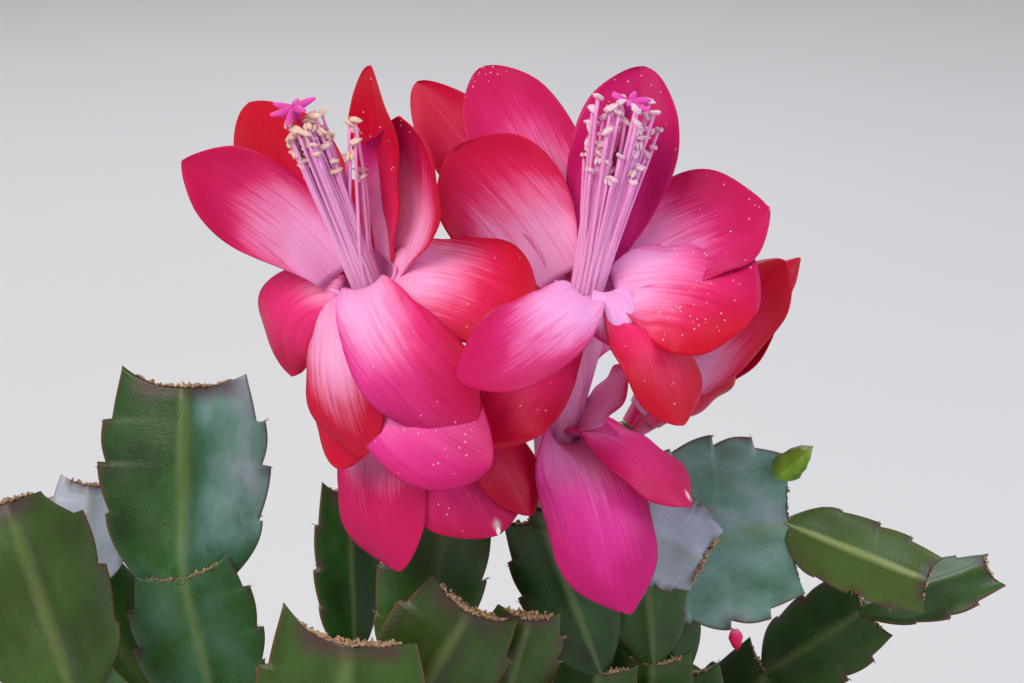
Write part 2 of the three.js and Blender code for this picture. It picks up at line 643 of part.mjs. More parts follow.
function fanPlan({ bearing, foot, top, reach, hang, bow }) {
  const at = (r, z, swing = 0) => {
    const turn = rad(bearing + swing)
    return [r * Math.cos(turn), r * Math.sin(turn), z]
  }
  const way = (outward, upward) => at(outward, upward)
  const knee = top - hang * 0.42
  const shoulder = at(mix(foot, reach, 0.32), top - 6, bow * 0.4)
  const crest = at(mix(foot, reach, 0.68), top + 2, bow)
  return stemPlan(
    [at(foot, SOIL_TOP), shoulder, crest, at(reach, knee, bow)],
    [10, 25, 26],
    [way(-0.8, 1), way(-0.1, 1), way(0.6, 1)],
    {
      shownFrom: 9,
      forks: [
        { at: 3, to: at(reach + 11, knee - 28, bow - 10), width: 22, face: way(1, 0.5), shift: -5 },
        { at: 3, to: at(reach + 15, knee - 22, bow + 10), width: 21, face: way(1, 0.6), shift: 5 },
      ],
    },
  )
}

FAN.forEach((fan, k) => { STEMS[`stem_fan_${k + 1}`] = fanPlan(fan) })

// ---------------------------------------------------------------- the bud

function makeBud({ base, axis }) {
  const core = turned(base, axis, [[0, 0], [0, 2.6], [8, 4.8], [22, 6.6], [36, 5.8], [44, 2.8], [48, 0]], 8)
  const scales = [
    petal(4, 335, 42, 19, 20, 4, { cup: 0.9 }),
    petal(4, 140, 36, 17, 18, 2, { cup: 0.9 }),
    petal(4, 255, 39, 17, 20, 3, { cup: 0.9 }),
    petal(4, 65, 33, 17, 16, -3, { cup: 0.9 }),
    petal(3, 20, 22, 16, 22, 8, { cup: 0.7 }),
  ].map((shape) => petalSolid({ base, axis }, shape))
  return mainBody(join([core, ...scales]))
}

// A place on the margin of a stem's joint: `share` of the way along it, on the side `way` (1 or -1).
function marginOf(plan, number, share, way) {
  const from = plan.points[number]
  const along = plan.points[number + 1].clone().sub(from)
  const length = along.length()
  along.normalize()
  const face = plan.faces[number]
  const out = face.clone().addScaledVector(along, -face.dot(along)).normalize()
  const side = out.clone().cross(along).multiplyScalar(way)
  const reach = plan.widths[number] / 2 + FIT
  const base = from.clone().addScaledVector(along, length * share).addScaledVector(side, reach)
  return { base, axis: side }
}

// The tiny red bud low on the edge of the large right-hand joint.
const SMALL_BUD = marginOf(STEMS.stem_right_large, 3, 0.58, -1)
const SMALL_BUD_SHAPE = [[0, 0], [0, 0.8], [1.6, 1.5], [3.4, 0.9], [4.4, 0]]
const makeSmallBud = ({ base, axis }) => turned(base, axis, SMALL_BUD_SHAPE, 8)

// ---------------------------------------------------------------- the object

const plant = new THREE.Group()

function place(name, solid, material) {
  const mesh = new THREE.Mesh(toGeometry(solid), material)
  mesh.name = name
  plant.add(mesh)
}

place('pot', makePot(), TERRACOTTA)
place('soil', makeSoil(Object.values(STEMS).map((plan) => plan.points[0])), SOIL)
Object.entries(STEMS).forEach(([name, plan]) => place(name, makeStem(plan), GREEN))

place('flower_left_petals', makePetals(LEFT_FLOWER, LEFT_PETALS), PETAL_PINK)
place('flower_left_stamens', makeStamens(LEFT_FLOWER, LEFT_TUFT, 11), FILAMENT_PINK)
place('flower_left_style', makeStyle(LEFT_FLOWER, { height: 72.5, bendX: -0.8, lobes: 6 }), STIGMA_MAGENTA)
place('flower_left_ovary', makeOvary(LEFT_FLOWER), YOUNG_GREEN)
place('flower_right_petals', makePetals(RIGHT_FLOWER, RIGHT_PETALS), PETAL_PINK)
place('flower_right_stamens', makeStamens(RIGHT_FLOWER, RIGHT_TUFT, 23), FILAMENT_PINK)
place('flower_right_style', makeStyle(RIGHT_FLOWER, { height: 72.5, bendX: 0.6, lobes: 6 }), STIGMA_MAGENTA)
place('flower_right_ovary', makeOvary(RIGHT_FLOWER), YOUNG_GREEN)
place('bud_petals', makeBud(BUD), BUD_RED)
place('bud_ovary', makeOvary(BUD), YOUNG_GREEN)
place('bud_small', makeSmallBud(SMALL_BUD), BUD_RED)

export default plant
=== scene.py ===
# %% [markdown]
# # A christmas cactus in bloom, in its terracotta pot
#
# A solid model of the plant is already finished: a pot, the soil, twenty leafy stems, two open flowers and
# two buds, each a simple closed body at its true size. This lesson dresses it. Every body keeps its place
# and its form, and gets the things that the eye looks for: petals as thin as petals, toothed joints, corky
# ends, threads with their pollen. We load the solid model first, because all that follows is measured from
# it.

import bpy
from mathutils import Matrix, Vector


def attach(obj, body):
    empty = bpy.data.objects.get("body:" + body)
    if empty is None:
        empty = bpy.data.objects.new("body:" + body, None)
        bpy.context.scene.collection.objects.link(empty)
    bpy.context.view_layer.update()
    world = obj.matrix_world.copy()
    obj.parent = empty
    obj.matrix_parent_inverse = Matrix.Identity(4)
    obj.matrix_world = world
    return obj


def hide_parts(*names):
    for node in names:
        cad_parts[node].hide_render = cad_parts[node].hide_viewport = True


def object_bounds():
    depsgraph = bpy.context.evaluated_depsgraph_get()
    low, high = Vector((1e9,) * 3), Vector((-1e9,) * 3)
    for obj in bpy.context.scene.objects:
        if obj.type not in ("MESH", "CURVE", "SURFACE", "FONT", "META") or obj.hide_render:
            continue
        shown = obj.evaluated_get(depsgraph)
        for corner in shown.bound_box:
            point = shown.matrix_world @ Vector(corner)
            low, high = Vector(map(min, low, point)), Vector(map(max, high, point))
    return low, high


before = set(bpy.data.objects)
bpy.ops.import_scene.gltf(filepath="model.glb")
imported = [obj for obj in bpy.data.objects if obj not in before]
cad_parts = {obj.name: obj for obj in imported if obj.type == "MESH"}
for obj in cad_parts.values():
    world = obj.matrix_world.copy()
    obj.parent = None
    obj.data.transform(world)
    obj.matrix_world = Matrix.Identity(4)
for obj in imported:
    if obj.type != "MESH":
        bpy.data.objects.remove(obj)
solid_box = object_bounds()
print("nodes in the solid model:", len(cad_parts))

# %% The other tools
import math
import random
from types import SimpleNamespace

import bmesh
import bpy
import numpy as np
from mathutils import Vector

MM = 0.001  # the plant is measured in millimetres, and Blender works in metres
span = (solid_box[1] - solid_box[0]) / MM
print("the plant and its pot measure", [round(x) for x in span], "mm")

# %% [markdown]
# ## The camera
#
# The camera comes first, so that every later step can be judged in its own view. The photograph was taken
# with a long lens from a little above the flowers: the far petals are hardly smaller than the near ones, and
# we look down into the throats. A wide lens close by would swell the near petals, and a 100 mm lens on a 36
# mm sensor does the same as the photographer's. It looks along +Y, 18 degrees downward, at a point between
# the two open flowers.

# %% Place the camera
LENS = 100  # mm
SENSOR = 36  # mm
LOOK_DOWN = math.radians(18)
LOOK_AT = Vector((6, -15, 228)) * MM  # what stands in the middle of the picture
DISTANCE = 547 * MM  # 5.2 picture points to a millimetre there

camera = bpy.data.objects.new("camera", bpy.data.cameras.new("camera"))
camera.data.lens = LENS
camera.data.sensor_width = SENSOR
camera.rotation_euler = (math.radians(90) - LOOK_DOWN, 0, 0)
camera.location = LOOK_AT - DISTANCE * Vector((0, math.cos(LOOK_DOWN), -math.sin(LOOK_DOWN)))
bpy.context.scene.collection.objects.link(camera)
bpy.context.scene.camera = camera
print("the camera stands", round(camera.location.z, 3), "m above the floor")

# %% [markdown]
# ## Places, directions and chance
#
# Plants are all curves, so most of this lesson is about points in space. These small helpers are used
# everywhere: a direction of length one, a mix of two values, and a soft step from 0 to 1. Chance comes from
# one seeded source for each piece, so that the plant is the same one each time it grows.

# %% Helpers for places and directions
def unit(v):
    v = np.asarray(v, float)
    return v / np.linalg.norm(v)


def mix(a, b, t):
    return a + (b - a) * t


def ease(low, high, x):
    t = np.clip((np.asarray(x, float) - low) / (high - low), 0, 1)
    return t * t * (3 - 2 * t)


print("halfway through a soft step:", float(ease(0, 1, 0.5)))

# %% [markdown]
# ## How a piece is put together
#
# A petal, a joint and a thread are all closed bodies, and a flower is many of them in one mesh. We describe
# a body as a list of points, a list of faces, and some marks. A mark is a number at each point, such as how
# far along the petal it lies. Blender keeps it in the mesh, and the material reads it back by its name. That
# is how the colour knows where the tip of each petal is, however the petal bends.
#
# Three ways to make a body are enough. A slab is two grids of points, front and back, closed round the rim.
# A body of rings is a skin over a row of rings, closed at both ends. A lump is a ball that is drawn out and
# made rough.

# %% A slab, and a body of rings
def body(points, faces, finish=0, **marks):
    """finish is the number of the material in the piece's list of finishes."""
    return SimpleNamespace(points=points, faces=faces, finish=finish, marks=marks)


def slab(front, back, finish=0, **marks):
    """front and back are grids of points, rows by columns, that face each other."""
    rows, columns = front.shape[:2]
    at = np.arange(rows * columns).reshape(rows, columns)
    sheet = np.stack([at[:-1, :-1], at[:-1, 1:], at[1:, 1:], at[1:, :-1]], -1).reshape(-1, 4)
    rim = np.concatenate([at[0, :-1], at[:-1, -1], at[-1, :0:-1], at[:0:-1, 0]])
    after = np.roll(rim, -1)
    edge = np.stack([after, rim, rim + at.size, after + at.size], -1)
    faces = np.concatenate([sheet, sheet[:, ::-1] + at.size, edge]).tolist()
    points = np.concatenate([front.reshape(-1, 3), back.reshape(-1, 3)])
    doubled = {k: np.tile(np.broadcast_to(v, (rows, columns)).ravel(), 2) for k, v in marks.items()}
    return body(points, faces, finish, back=np.repeat([0.0, 1.0], at.size), **doubled)


def ringed(rings, finish=0, **marks):
    """rings is an array of rings by points round each ring."""
    count, sides = rings.shape[:2]
    at = np.arange(count * sides).reshape(count, sides)
    after = np.roll(at, -1, axis=1)
    faces = np.stack([at[:-1], after[:-1], after[1:], at[1:]], -1).reshape(-1, 4).tolist()
    faces += [at[0, ::-1].tolist(), at[-1].tolist()]
    spread = {k: np.broadcast_to(v, (count, sides)).ravel() for k, v in marks.items()}
    return body(rings.reshape(-1, 3), faces, finish, **spread)


flat = np.zeros((4, 3, 3))
print("a slab of 4 by 3 points has", len(slab(flat, flat).faces), "faces")

# %% Rings round an axis, and rings along a path
def round_profile(base, axis, profile, sides, finish=0, **marks):
    """A round body about the line from base along axis. profile is a list of (height, radius)."""
    axis = unit(axis)
    side = unit(np.cross(axis, (0.31, -0.95, 0.02)))
    other = np.cross(axis, side)
    turn = np.linspace(0, 2 * math.pi, sides, endpoint=False)
    circle = np.cos(turn)[:, None] * side + np.sin(turn)[:, None] * other
    high, wide = np.array(profile, float).T
    rings = np.asarray(base, float) + high[:, None, None] * axis + wide[:, None, None] * circle
    return ringed(rings, finish, **marks)


def along_path(path, radii, sides, finish=0, **marks):
    """A round thread through the points of path, with one radius for all of them or one for each."""
    path = np.asarray(path, float)
    way = np.gradient(path, axis=0)
    way /= np.linalg.norm(way, axis=1)[:, None]
    side = np.cross(way, unit(np.cross(unit(path[-1] - path[0]), (0.4, 0.3, 0.87))))
    side /= np.linalg.norm(side, axis=1)[:, None]
    other = np.cross(way, side)
    turn = np.linspace(0, 2 * math.pi, sides, endpoint=False)
    circle = np.cos(turn)[None, :, None] * side[:, None] + np.sin(turn)[None, :, None] * other[:, None]
    return ringed(path[:, None] + np.reshape(radii, (-1, 1, 1)) * circle, finish, **marks)


def smooth_path(points, count):
    """count points on a soft curve through the few points given, spaced evenly by share."""
    points = np.asarray(points, float)
    ends = [2 * points[0] - points[1], *points, 2 * points[-1] - points[-2]]
    found = []
    for place in np.linspace(0, len(points) - 1, count):
        k = min(int(place), len(points) - 2)
        t = place - k
        a, b, c, d = ends[k : k + 4]
        square, cube = 2 * a - 5 * b + 4 * c - d, 3 * b - 3 * c + d - a
        found.append(0.5 * (2 * b + (c - a) * t + square * t**2 + cube * t**3))
    return np.array(found)


print("halfway along a soft curve:", smooth_path([(0, 0, 0), (0, 1, 2), (0, 0, 4)], 5)[2].tolist())

# %% Small lumps: grains, crumbs and pollen sacs
def ball(level):
    made = bmesh.new()
    bmesh.ops.create_icosphere(made, subdivisions=level, radius=1)
    points = np.array([v.co for v in made.verts])
    faces = [[v.index for v in f.verts] for f in made.faces]
    made.free()
    return points, faces


BALLS = {level: ball(level) for level in (1, 2)}
print("a plain lump has", len(BALLS[1][0]), "points, and a finer one", len(BALLS[2][0]))


def lump(centre, way, long, wide, draw, rough=0.0, level=1, thick=None, finish=0, **marks):
    """A ball drawn out to long along way, by wide and thick. rough pushes each point in or out."""
    points, faces = BALLS[level]
    way = unit(way)
    side = unit(np.cross(way, (draw.uniform(-1, 1), draw.uniform(-1, 1), 1.1)))
    other = np.cross(way, side)
    push = np.array([1 + draw.uniform(-rough, rough) for _ in points])[:, None]
    size = np.array([wide, wide if thick is None else thick, long]) / 2
    placed = (points * push * size) @ np.array([side, other, way]) + np.asarray(centre, float)
    return body(placed, faces, finish, **{k: np.full(len(points), float(v)) for k, v in marks.items()})


# %% Turn bodies into one Blender piece
def make_piece(name, bodies, finishes, stands_for=()):
    """Joins the bodies into one mesh on the plant, in the frame's metres."""
    marks = sorted({mark for b in bodies for mark in b.marks})
    points, faces, finish_of, starts = [], [], [], 0
    for b in bodies:
        points.append(b.points)
        faces += [[i + starts for i in face] for face in b.faces]
        finish_of += [b.finish] * len(b.faces)
        starts += len(b.points)
    mesh = bpy.data.meshes.new(name)
    mesh.from_pydata((np.concatenate(points) * MM).tolist(), [], faces)
    for mark in marks:
        values = np.concatenate([b.marks.get(mark, np.zeros(len(b.points))) for b in bodies])
        mesh.attributes.new(mark, "FLOAT", "POINT").data.foreach_set("value", values.astype(np.float32))
    for finish in finishes:
        mesh.materials.append(finish)
    mesh.polygons.foreach_set("material_index", finish_of)
    mesh.polygons.foreach_set("use_smooth", [True] * len(faces))
    tidy = bmesh.new()
    tidy.from_mesh(mesh)
    bmesh.ops.recalc_face_normals(tidy, faces=tidy.faces)
    tidy.to_mesh(mesh)
    tidy.free()
    piece = bpy.data.objects.new(name, mesh)
    bpy.context.scene.collection.objects.link(piece)
    return on_the_plant(piece, stands_for)


def on_the_plant(piece, stands_for=()):
    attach(piece, "root")
    if stands_for:
        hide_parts(*stands_for)
    print(f"{piece.name}: {len(piece.data.vertices)} points, stands for {list(stands_for) or 'nothing'}")
    return piece


# %% [markdown]
# ## How a finish is mixed
#
# A colour picked from a photograph is an sRGB value, and the renderer works in linear light, so one function
# turns hex values over. One more adds a node: its kind, its own settings, and for each socket a value or
# another node's output. A ramp of colours is given by its stops. A value that is the same all over the
# surface is set straight on the socket of the surface.
#
# A picture could be painted for each piece instead. We mix every finish from nodes, because it then stays
# sharp at any distance, and one finish serves twenty stems.

# %% Colour and nodes
def colour(hex_code):
    values = [int(hex_code[i : i + 2], 16) / 255 for i in (1, 3, 5)]
    return (*[v / 12.92 if v <= 0.04045 else ((v + 0.055) / 1.055) ** 2.4 for v in values], 1.0)


def add(material, kind, inputs=(), output=0, stops=(), **settings):
    """Adds one node and gives back one of its outputs, or the node itself if output is None.

    inputs says what goes into each socket, a value or another node's output. It is a list in the order of
    the sockets, or names them. stops are the places and colours of a ramp.
    """
    tree = material.node_tree
    made = tree.nodes.new("ShaderNode" + kind)
    for name, value in settings.items():
        setattr(made, name, value)
    for name, value in inputs.items() if isinstance(inputs, dict) else enumerate(inputs):
        if isinstance(value, bpy.types.NodeSocket):
            tree.links.new(value, made.inputs[name])
        else:
            made.inputs[name].default_value = value
    for _ in stops[2:]:
        made.color_ramp.elements.new(1)
    for k, (place, shade) in enumerate(stops):
        made.color_ramp.elements[k].position = place
        made.color_ramp.elements[k].color = colour(shade)
    return made if output is None else made.outputs[output]


def new_finish(name):
    """An empty material."""
    material = bpy.data.materials.new(name)
    material.use_nodes = True
    material.node_tree.nodes.clear()
    return material


def finished(material, sockets):
    """Ends a material with its surface, and hands it to the material's output."""
    surface = add(material, "BsdfPrincipled", sockets)
    add(material, "OutputMaterial", {"Surface": surface}, output=None)
    return material


SHARE, FIRST, SECOND, MIXED = 0, 6, 7, 2  # a Mix node's sockets and output when it mixes two colours
NOISE_MIDDLE = 0.5  # what a noise pattern gives on average
print("the pink of a petal, in linear light:", [round(v, 3) for v in colour("#ee43ac")[:3]])

# %% [markdown]
# ## Petal finish
#
# A petal of this plant is living tissue, three or four cells thick, and each cell on its surface is a tiny
# dome. The domes give a soft satin shine and make the colour glow. The pigment is weak in the heart of the
# petal and strong at the tip and along the margins, so a petal runs from a whitish pink to red or magenta.
# The veins run its length as fine lines, half a millimetre apart.
#
# Each petal could be painted by hand. We let the finish read the petal's own marks instead, so that one
# finish tints them all: how far up (0 to 1), how far across (-1 to 1), the place in millimetres, and how
# red, pale or dark this petal is beside its neighbours. The pattern starts at another place on each, so no
# two look stamped. A little light passes through it, which the subsurface setting gives.

# %% The place on a petal or a joint
PATTERN_APART = 40.0  # how far apart in the pattern two neighbours can lie


def place_on_skin(material, across_mm, along_mm):
    """The point's place on the flat petal or joint, counted in pattern steps of the given size."""
    x, y, chance = (add(material, "Attribute", output="Fac", attribute_name=mark)
                    for mark in ("x_mm", "y_mm", "chance"))
    x = add(material, "Math", [x, across_mm], operation="DIVIDE")
    y = add(material, "Math", [y, along_mm], operation="DIVIDE")
    z = add(material, "Math", [chance, PATTERN_APART], operation="MULTIPLY")
    return add(material, "CombineXYZ", [x, y, z])


print("two neighbours lie up to", PATTERN_APART, "steps apart in the pattern")

# %% Petal tissue
VEIN_SPACING = 0.5  # mm across the petal
VEIN_LENGTH = 14.0  # mm before one line fades into the next
BLOTCH = 6.0  # mm, the size of the softer patches of colour
BLOTCH_LENGTH = BLOTCH * 1.8
VEIN_RELIEF = 0.15 * MM
TORN_EDGE = "#efe9dc"


def petal_tissue(name, magenta, scarlet, heart):
    """magenta and scarlet are each a pair: the colour of a petal's middle, and that of its tip."""
    material = new_finish(name)
    red, up, across, dark, pale, back, torn = (
        add(material, "Attribute", output="Fac", attribute_name=mark)
        for mark in ("red", "up", "across", "dark", "pale", "back", "torn"))
    vein_at = place_on_skin(material, VEIN_SPACING, VEIN_LENGTH)
    veins = add(material, "TexNoise", {"Vector": vein_at, "Scale": 1.0, "Detail": 2.0, "Roughness": 0.6})
    patch_at = place_on_skin(material, BLOTCH, BLOTCH_LENGTH)
    patches = add(material, "TexNoise", {"Vector": patch_at, "Scale": 1.0, "Detail": 2.0})
    line = add(material, "Math", [veins, NOISE_MIDDLE], operation="SUBTRACT")
    patch = add(material, "Math", [patches, NOISE_MIDDLE], operation="SUBTRACT")
    sharp = add(material, "MapRange", {"Value": veins, "From Min": 0.54, "From Max": 0.66, "To Max": 0.17},
                interpolation_type="SMOOTHSTEP")

    middle, tip = (add(material, "Mix", {SHARE: red, FIRST: colour(cool), SECOND: colour(warm)}, output=MIXED,
                       data_type="RGBA") for cool, warm in zip(magenta, scarlet))

    # the pigment grows up the petal, and the margin, the veins, the patches and the petal's tint add to it
    margin = add(material, "Math", [across], operation="ABSOLUTE")
    margin = add(material, "Math", [margin, 2.6], operation="POWER")
    pigment = up
    for part, weight in ((margin, 0.34), (line, 0.26), (patch, 0.3), (dark, 0.25)):
        pigment = add(material, "Math", [part, weight, pigment], operation="MULTIPLY_ADD")
    to_tip = add(material, "MapRange", {"Value": pigment, "From Min": 0.38, "From Max": 1.0},
                 interpolation_type="SMOOTHSTEP")

    # the whitish heart reaches as far up as the petal's mark says, further on some petals where it is a
    # painted
    #     # highlight, and is weaker on the outside of the petal
    reach = add(material, "Math", [pale, 0.62, 0.12], operation="MULTIPLY_ADD")
    left_over = add(material, "Math", [reach, pigment], operation="SUBTRACT")
    to_heart = add(material, "MapRange", {"Value": left_over, "From Min": -0.16, "From Max": 0.34},
                   interpolation_type="SMOOTHSTEP")
    front = add(material, "Math", [back, -0.35, 1.0], operation="MULTIPLY_ADD")
    for weight in (front, 0.8):
        to_heart = add(material, "Math", [to_heart, weight], operation="MULTIPLY")

    flesh = middle
    for share, shade in ((to_tip, tip), (to_heart, colour(heart)), (sharp, tip), (torn, colour(TORN_EDGE))):
        flesh = add(material, "Mix", {SHARE: share, FIRST: flesh, SECOND: shade}, output=MIXED,
                    data_type="RGBA")
    satin = add(material, "Math", [veins, 0.2, 0.36], operation="MULTIPLY_ADD")
    relief = add(material, "Bump", {"Height": veins, "Strength": 0.4, "Distance": VEIN_RELIEF})
    return finished(material, {
        "Base Color": flesh, "Roughness": satin, "Normal": relief, "IOR": 1.42, "Specular IOR Level": 0.28,
        "Sheen Weight": 0.04, "Sheen Roughness": 0.4, "Sheen Tint": colour("#ff9ad8"),
        "Subsurface Weight": 0.18, "Subsurface Radius": (1.0, 0.25, 0.35), "Subsurface Scale": 1.2 * MM})


PETAL = petal_tissue("petal_tissue_pink_to_red", magenta=("#ee43ac", "#c01470"),
                     scarlet=("#ea2465", "#c40027"), heart="#f8b8ec")
print("one petal finish for every petal, tinted by its marks")

# %% [markdown]
# ## The flower's tube and its petals
#
# The flower is a hollow tube with petals in layers, the older ones low down and bent right back, the
# youngest round the throat. Each petal is a curved sheet. It leaves the tube as a narrow claw that hugs it,
# widens to its broadest a little past the middle, and closes in a blunt tip. Two slopes say how it bends:
# how far it leans away from the flower's line where it starts, and how far at its tip.
#
# A sculpted mesh could do this too. We use a formula, because the same few numbers were used for the solid
# petals, and the fine ones then lie where those do.

# %% Where the flowers stand, and the form of the tube
LEFT = SimpleNamespace(base=np.array([-9.9, -28.4, 212.7]), axis=unit([-0.296, -0.224, 0.928]))
RIGHT = SimpleNamespace(base=np.array([13.3, -26.9, 207.7]), axis=unit([0.18, -0.125, 0.976]))
BUD = SimpleNamespace(base=np.array([30.0, 3.0, 204.0]), axis=unit([0.7, 0.14, 0.7]))
TUBE = np.array([[0, 3], [6, 4.4], [14, 4.2], [29, 5], [39.5, 6.6]])  # height, radius outside
TUBE_WALL = 1.2
TUBE_FLOOR = 3
LIP = 38.4  # the thin lip ends among the feet of the petals
LIP_WALL = 0.35
RIBS = 10  # the ridges that run down the tube from the petals
RIB_HEIGHT = 0.035  # as a share of the radius
TUBE_SIDES = 80


def tube_radius(height):
    return np.interp(height, TUBE[:, 0], TUBE[:, 1])


def tube_skin(flower):
    """The hollow tube: up the outside, over a thin scalloped lip and down the inside to its floor."""
    outside = [(0, 1.5), *((h, tube_radius(h)) for h in np.linspace(0, LIP, 34))]
    inside = [(h, tube_radius(h) - mix(LIP_WALL, TUBE_WALL, float(ease(LIP, LIP - 9, h))))
              for h in np.linspace(LIP, TUBE_FLOOR, 28)]
    profile = [*outside, (LIP + 0.1, tube_radius(LIP) - LIP_WALL / 2), *inside, (TUBE_FLOOR, 1)]
    tube = round_profile(flower.base, flower.axis, profile, TUBE_SIDES)
    turn = np.tile(np.linspace(0, 2 * math.pi, TUBE_SIDES, endpoint=False), len(profile))
    height = np.repeat([h for h, _ in profile], TUBE_SIDES)
    radius = np.repeat([r for _, r in profile], TUBE_SIDES)
    middle = flower.base + height[:, None] * flower.axis
    tube.points = middle + (tube.points - middle) * (1 + RIB_HEIGHT * np.cos(RIBS * turn))[:, None]
    scallop = (0.9 + 0.9 * np.sin(RIBS / 2 * turn + 1)) * ease(LIP - 7, LIP, height)
    tube.points -= scallop[:, None] * flower.axis
    inner = np.repeat([0] * len(outside) + [1] * (len(profile) - len(outside)), TUBE_SIDES)
    # the tube's heart is pale all over and paler still inside: a painted light over the shade that falls on
    # it
    tube.marks = dict(x_mm=radius * turn, y_mm=height, up=0.1 + 0.25 * (1 - height / LIP),
                      across=0.2 * np.sin(RIBS * turn), red=np.full(len(turn), 0.2), pale=0.75 + 0.3 * inner,
                      chance=np.full(len(turn), 0.37))
    return tube


print("the tube is", TUBE[-1][0], "mm long, and", 2 * TUBE[-1][1], "mm wide at its mouth")

# %% The form of a petal
PETAL_THICK = 0.8
PETAL_RIM = 0.35  # half the width where the tip closes
PETAL_ROWS = 1 - (1 - np.linspace(0, 1, 40)) ** 1.5  # closer together towards the tip
PETAL_COLUMNS = np.sin(np.linspace(-math.pi / 2, math.pi / 2, 23)) * 0.35 + np.linspace(-1, 1, 23) * 0.65


def petal(up, bearing, long, wide, lean, droop, **more):
    """up is the height on the tube, and bearing the way it points: 0 is the front, 90 the right."""
    plain = dict(cup=0.4, sweep=0, roll=0, curl=0, claw=0.38, swell=0.58, bend=2, point=0.56, wave=0.55,
                 red=0.5, pale=0.5, dark=0.0, flush=0.0, nibble=None)
    return SimpleNamespace(up=up, bearing=bearing, long=long, wide=wide, lean=lean, droop=droop,
                           **{**plain, **more})


def petal_half_width(p, s):
    rise = mix(p.claw, 1, np.sin(math.pi / 2 * np.minimum(s / p.swell, 1)) ** 1.2)
    fall = np.maximum(1 - np.maximum((s - 0.58) / 0.42, 0) ** 2.2, 0) ** p.point
    return np.maximum(p.wide / 2 * rise * fall * (1 - 0.12 * ease(0.8, 1, s)), PETAL_RIM)


def petal_frames(flower, p):
    """Which way the petal stands out, and a function for its own directions at share s of its length."""
    facing = unit(np.array([0, -1, 0]) + flower.axis[1] * flower.axis)
    turn = math.radians(p.bearing)
    out = facing * math.cos(turn) + np.cross(flower.axis, facing) * math.sin(turn)
    sideways = np.cross(flower.axis, out)
    roll = math.radians(p.roll)

    def at(s):
        """Along the petal, to its side, and out of its inner face."""
        slope = math.radians(mix(p.lean, p.droop, 1 - (1 - s) ** p.bend) + p.curl * float(ease(0.7, 1, s)))
        swing = math.radians(p.sweep) * s
        plain = flower.axis * math.cos(slope) + out * math.sin(slope)
        inner = flower.axis * math.sin(slope) - out * math.cos(slope)
        along = plain * math.cos(swing) + sideways * math.sin(swing)
        side = sideways * math.cos(swing) - plain * math.sin(swing)
        rolled_side = side * math.cos(roll) - inner * math.sin(roll)
        return along, rolled_side, inner * math.cos(roll) + side * math.sin(roll)

    return out, at


print("a petal is laid on", len(PETAL_ROWS), "by", len(PETAL_COLUMNS), "points")

# %% Lay the sheet of a petal
RIPPLES = 2.1  # waves along the margin from end to end
GROOVE = 0.22  # mm deep, down the middle of the inner face


def petal_sheets(flower, p, phase):
    """The inner and outer face of a petal as grids of points, and its marks."""
    out, directions = petal_frames(flower, p)
    radius = tube_radius(p.up) - TUBE_WALL * 0.6
    spot = flower.base + flower.axis * p.up + out * radius
    t = PETAL_COLUMNS
    inner, outer, halves = [], [], []
    walked = 0.0
    for s in PETAL_ROWS:
        for step in np.linspace(walked, s, 5)[1:] - (s - walked) / 8:
            spot = spot + directions(step)[0] * p.long * (s - walked) / 4
        walked = s
        _, side, normal = directions(s)
        half = float(petal_half_width(p, s))
        curve = mix(half / radius, p.cup, float(ease(0, 0.3, s)))
        wave = np.sin(2 * math.pi * (RIPPLES * s + 0.31 * t + phase))
        ripple = p.wave * np.abs(t) ** 2.5 * wave * ease(0.2, 0.6, s)
        groove = -GROOVE * np.exp(-((t / 0.1) ** 2)) * ease(0.1, 0.4, s) * ease(1, 0.8, s)
        thick = PETAL_THICK * mix(0.45, 1, ease(1.0, 0.4, s)) * (1 - 0.65 * np.abs(t) ** 3)

        def place(lift):
            x = half * np.sin(curve * t) / curve - lift * np.sin(curve * t)
            y = half * (1 - np.cos(curve * t)) / curve + lift * np.cos(curve * t)
            return spot + x[:, None] * side + y[:, None] * normal

        inner.append(place(ripple + groove))
        outer.append(place(ripple - thick))
        halves.append(half)
    half = np.array(halves)[:, None]
    up = np.broadcast_to(PETAL_ROWS[:, None], (len(PETAL_ROWS), len(t)))
    marks = dict(up=up, across=np.broadcast_to(t, up.shape), x_mm=half * t, y_mm=up * p.long)
    return np.array(inner), np.array(outer), marks


def nibbled(inner, outer, p, draw):
    """Draws the sheet back where something has bitten its tip, and marks the torn white edge."""
    where, wide, deep = p.nibble
    ragged = np.array([draw.uniform(0.75, 1.1) for _ in PETAL_COLUMNS])
    bite = deep * np.exp(-(((PETAL_COLUMNS - where) / wide) ** 2)) * ragged
    kept = 1 - bite
    for sheet in (inner, outer):
        for j, share in enumerate(kept):
            for axis in range(3):
                sheet[:, j, axis] = np.interp(PETAL_ROWS * share, PETAL_ROWS, sheet[:, j, axis].copy())
    return ease(0.25, 1.0, bite[None, :] / deep) * ease(0.93, 0.985, PETAL_ROWS)[:, None]


def grow_petal(flower, p, draw):
    chance = draw.random()
    inner, outer, marks = petal_sheets(flower, p, chance)
    torn = nibbled(inner, outer, p, draw) if p.nibble else 0.0
    across = PETAL_COLUMNS[None]
    # flush paints shade along one margin: it reddens and darkens that side of the petal
    return slab(inner, outer, chance=chance, red=np.clip(p.red + p.flush * across, 0, 1), pale=p.pale,
                dark=p.dark + 0.9 * p.flush * across, torn=torn, **marks)


print("a petal is", PETAL_THICK, "mm thick in its middle, and thinner to its margins")
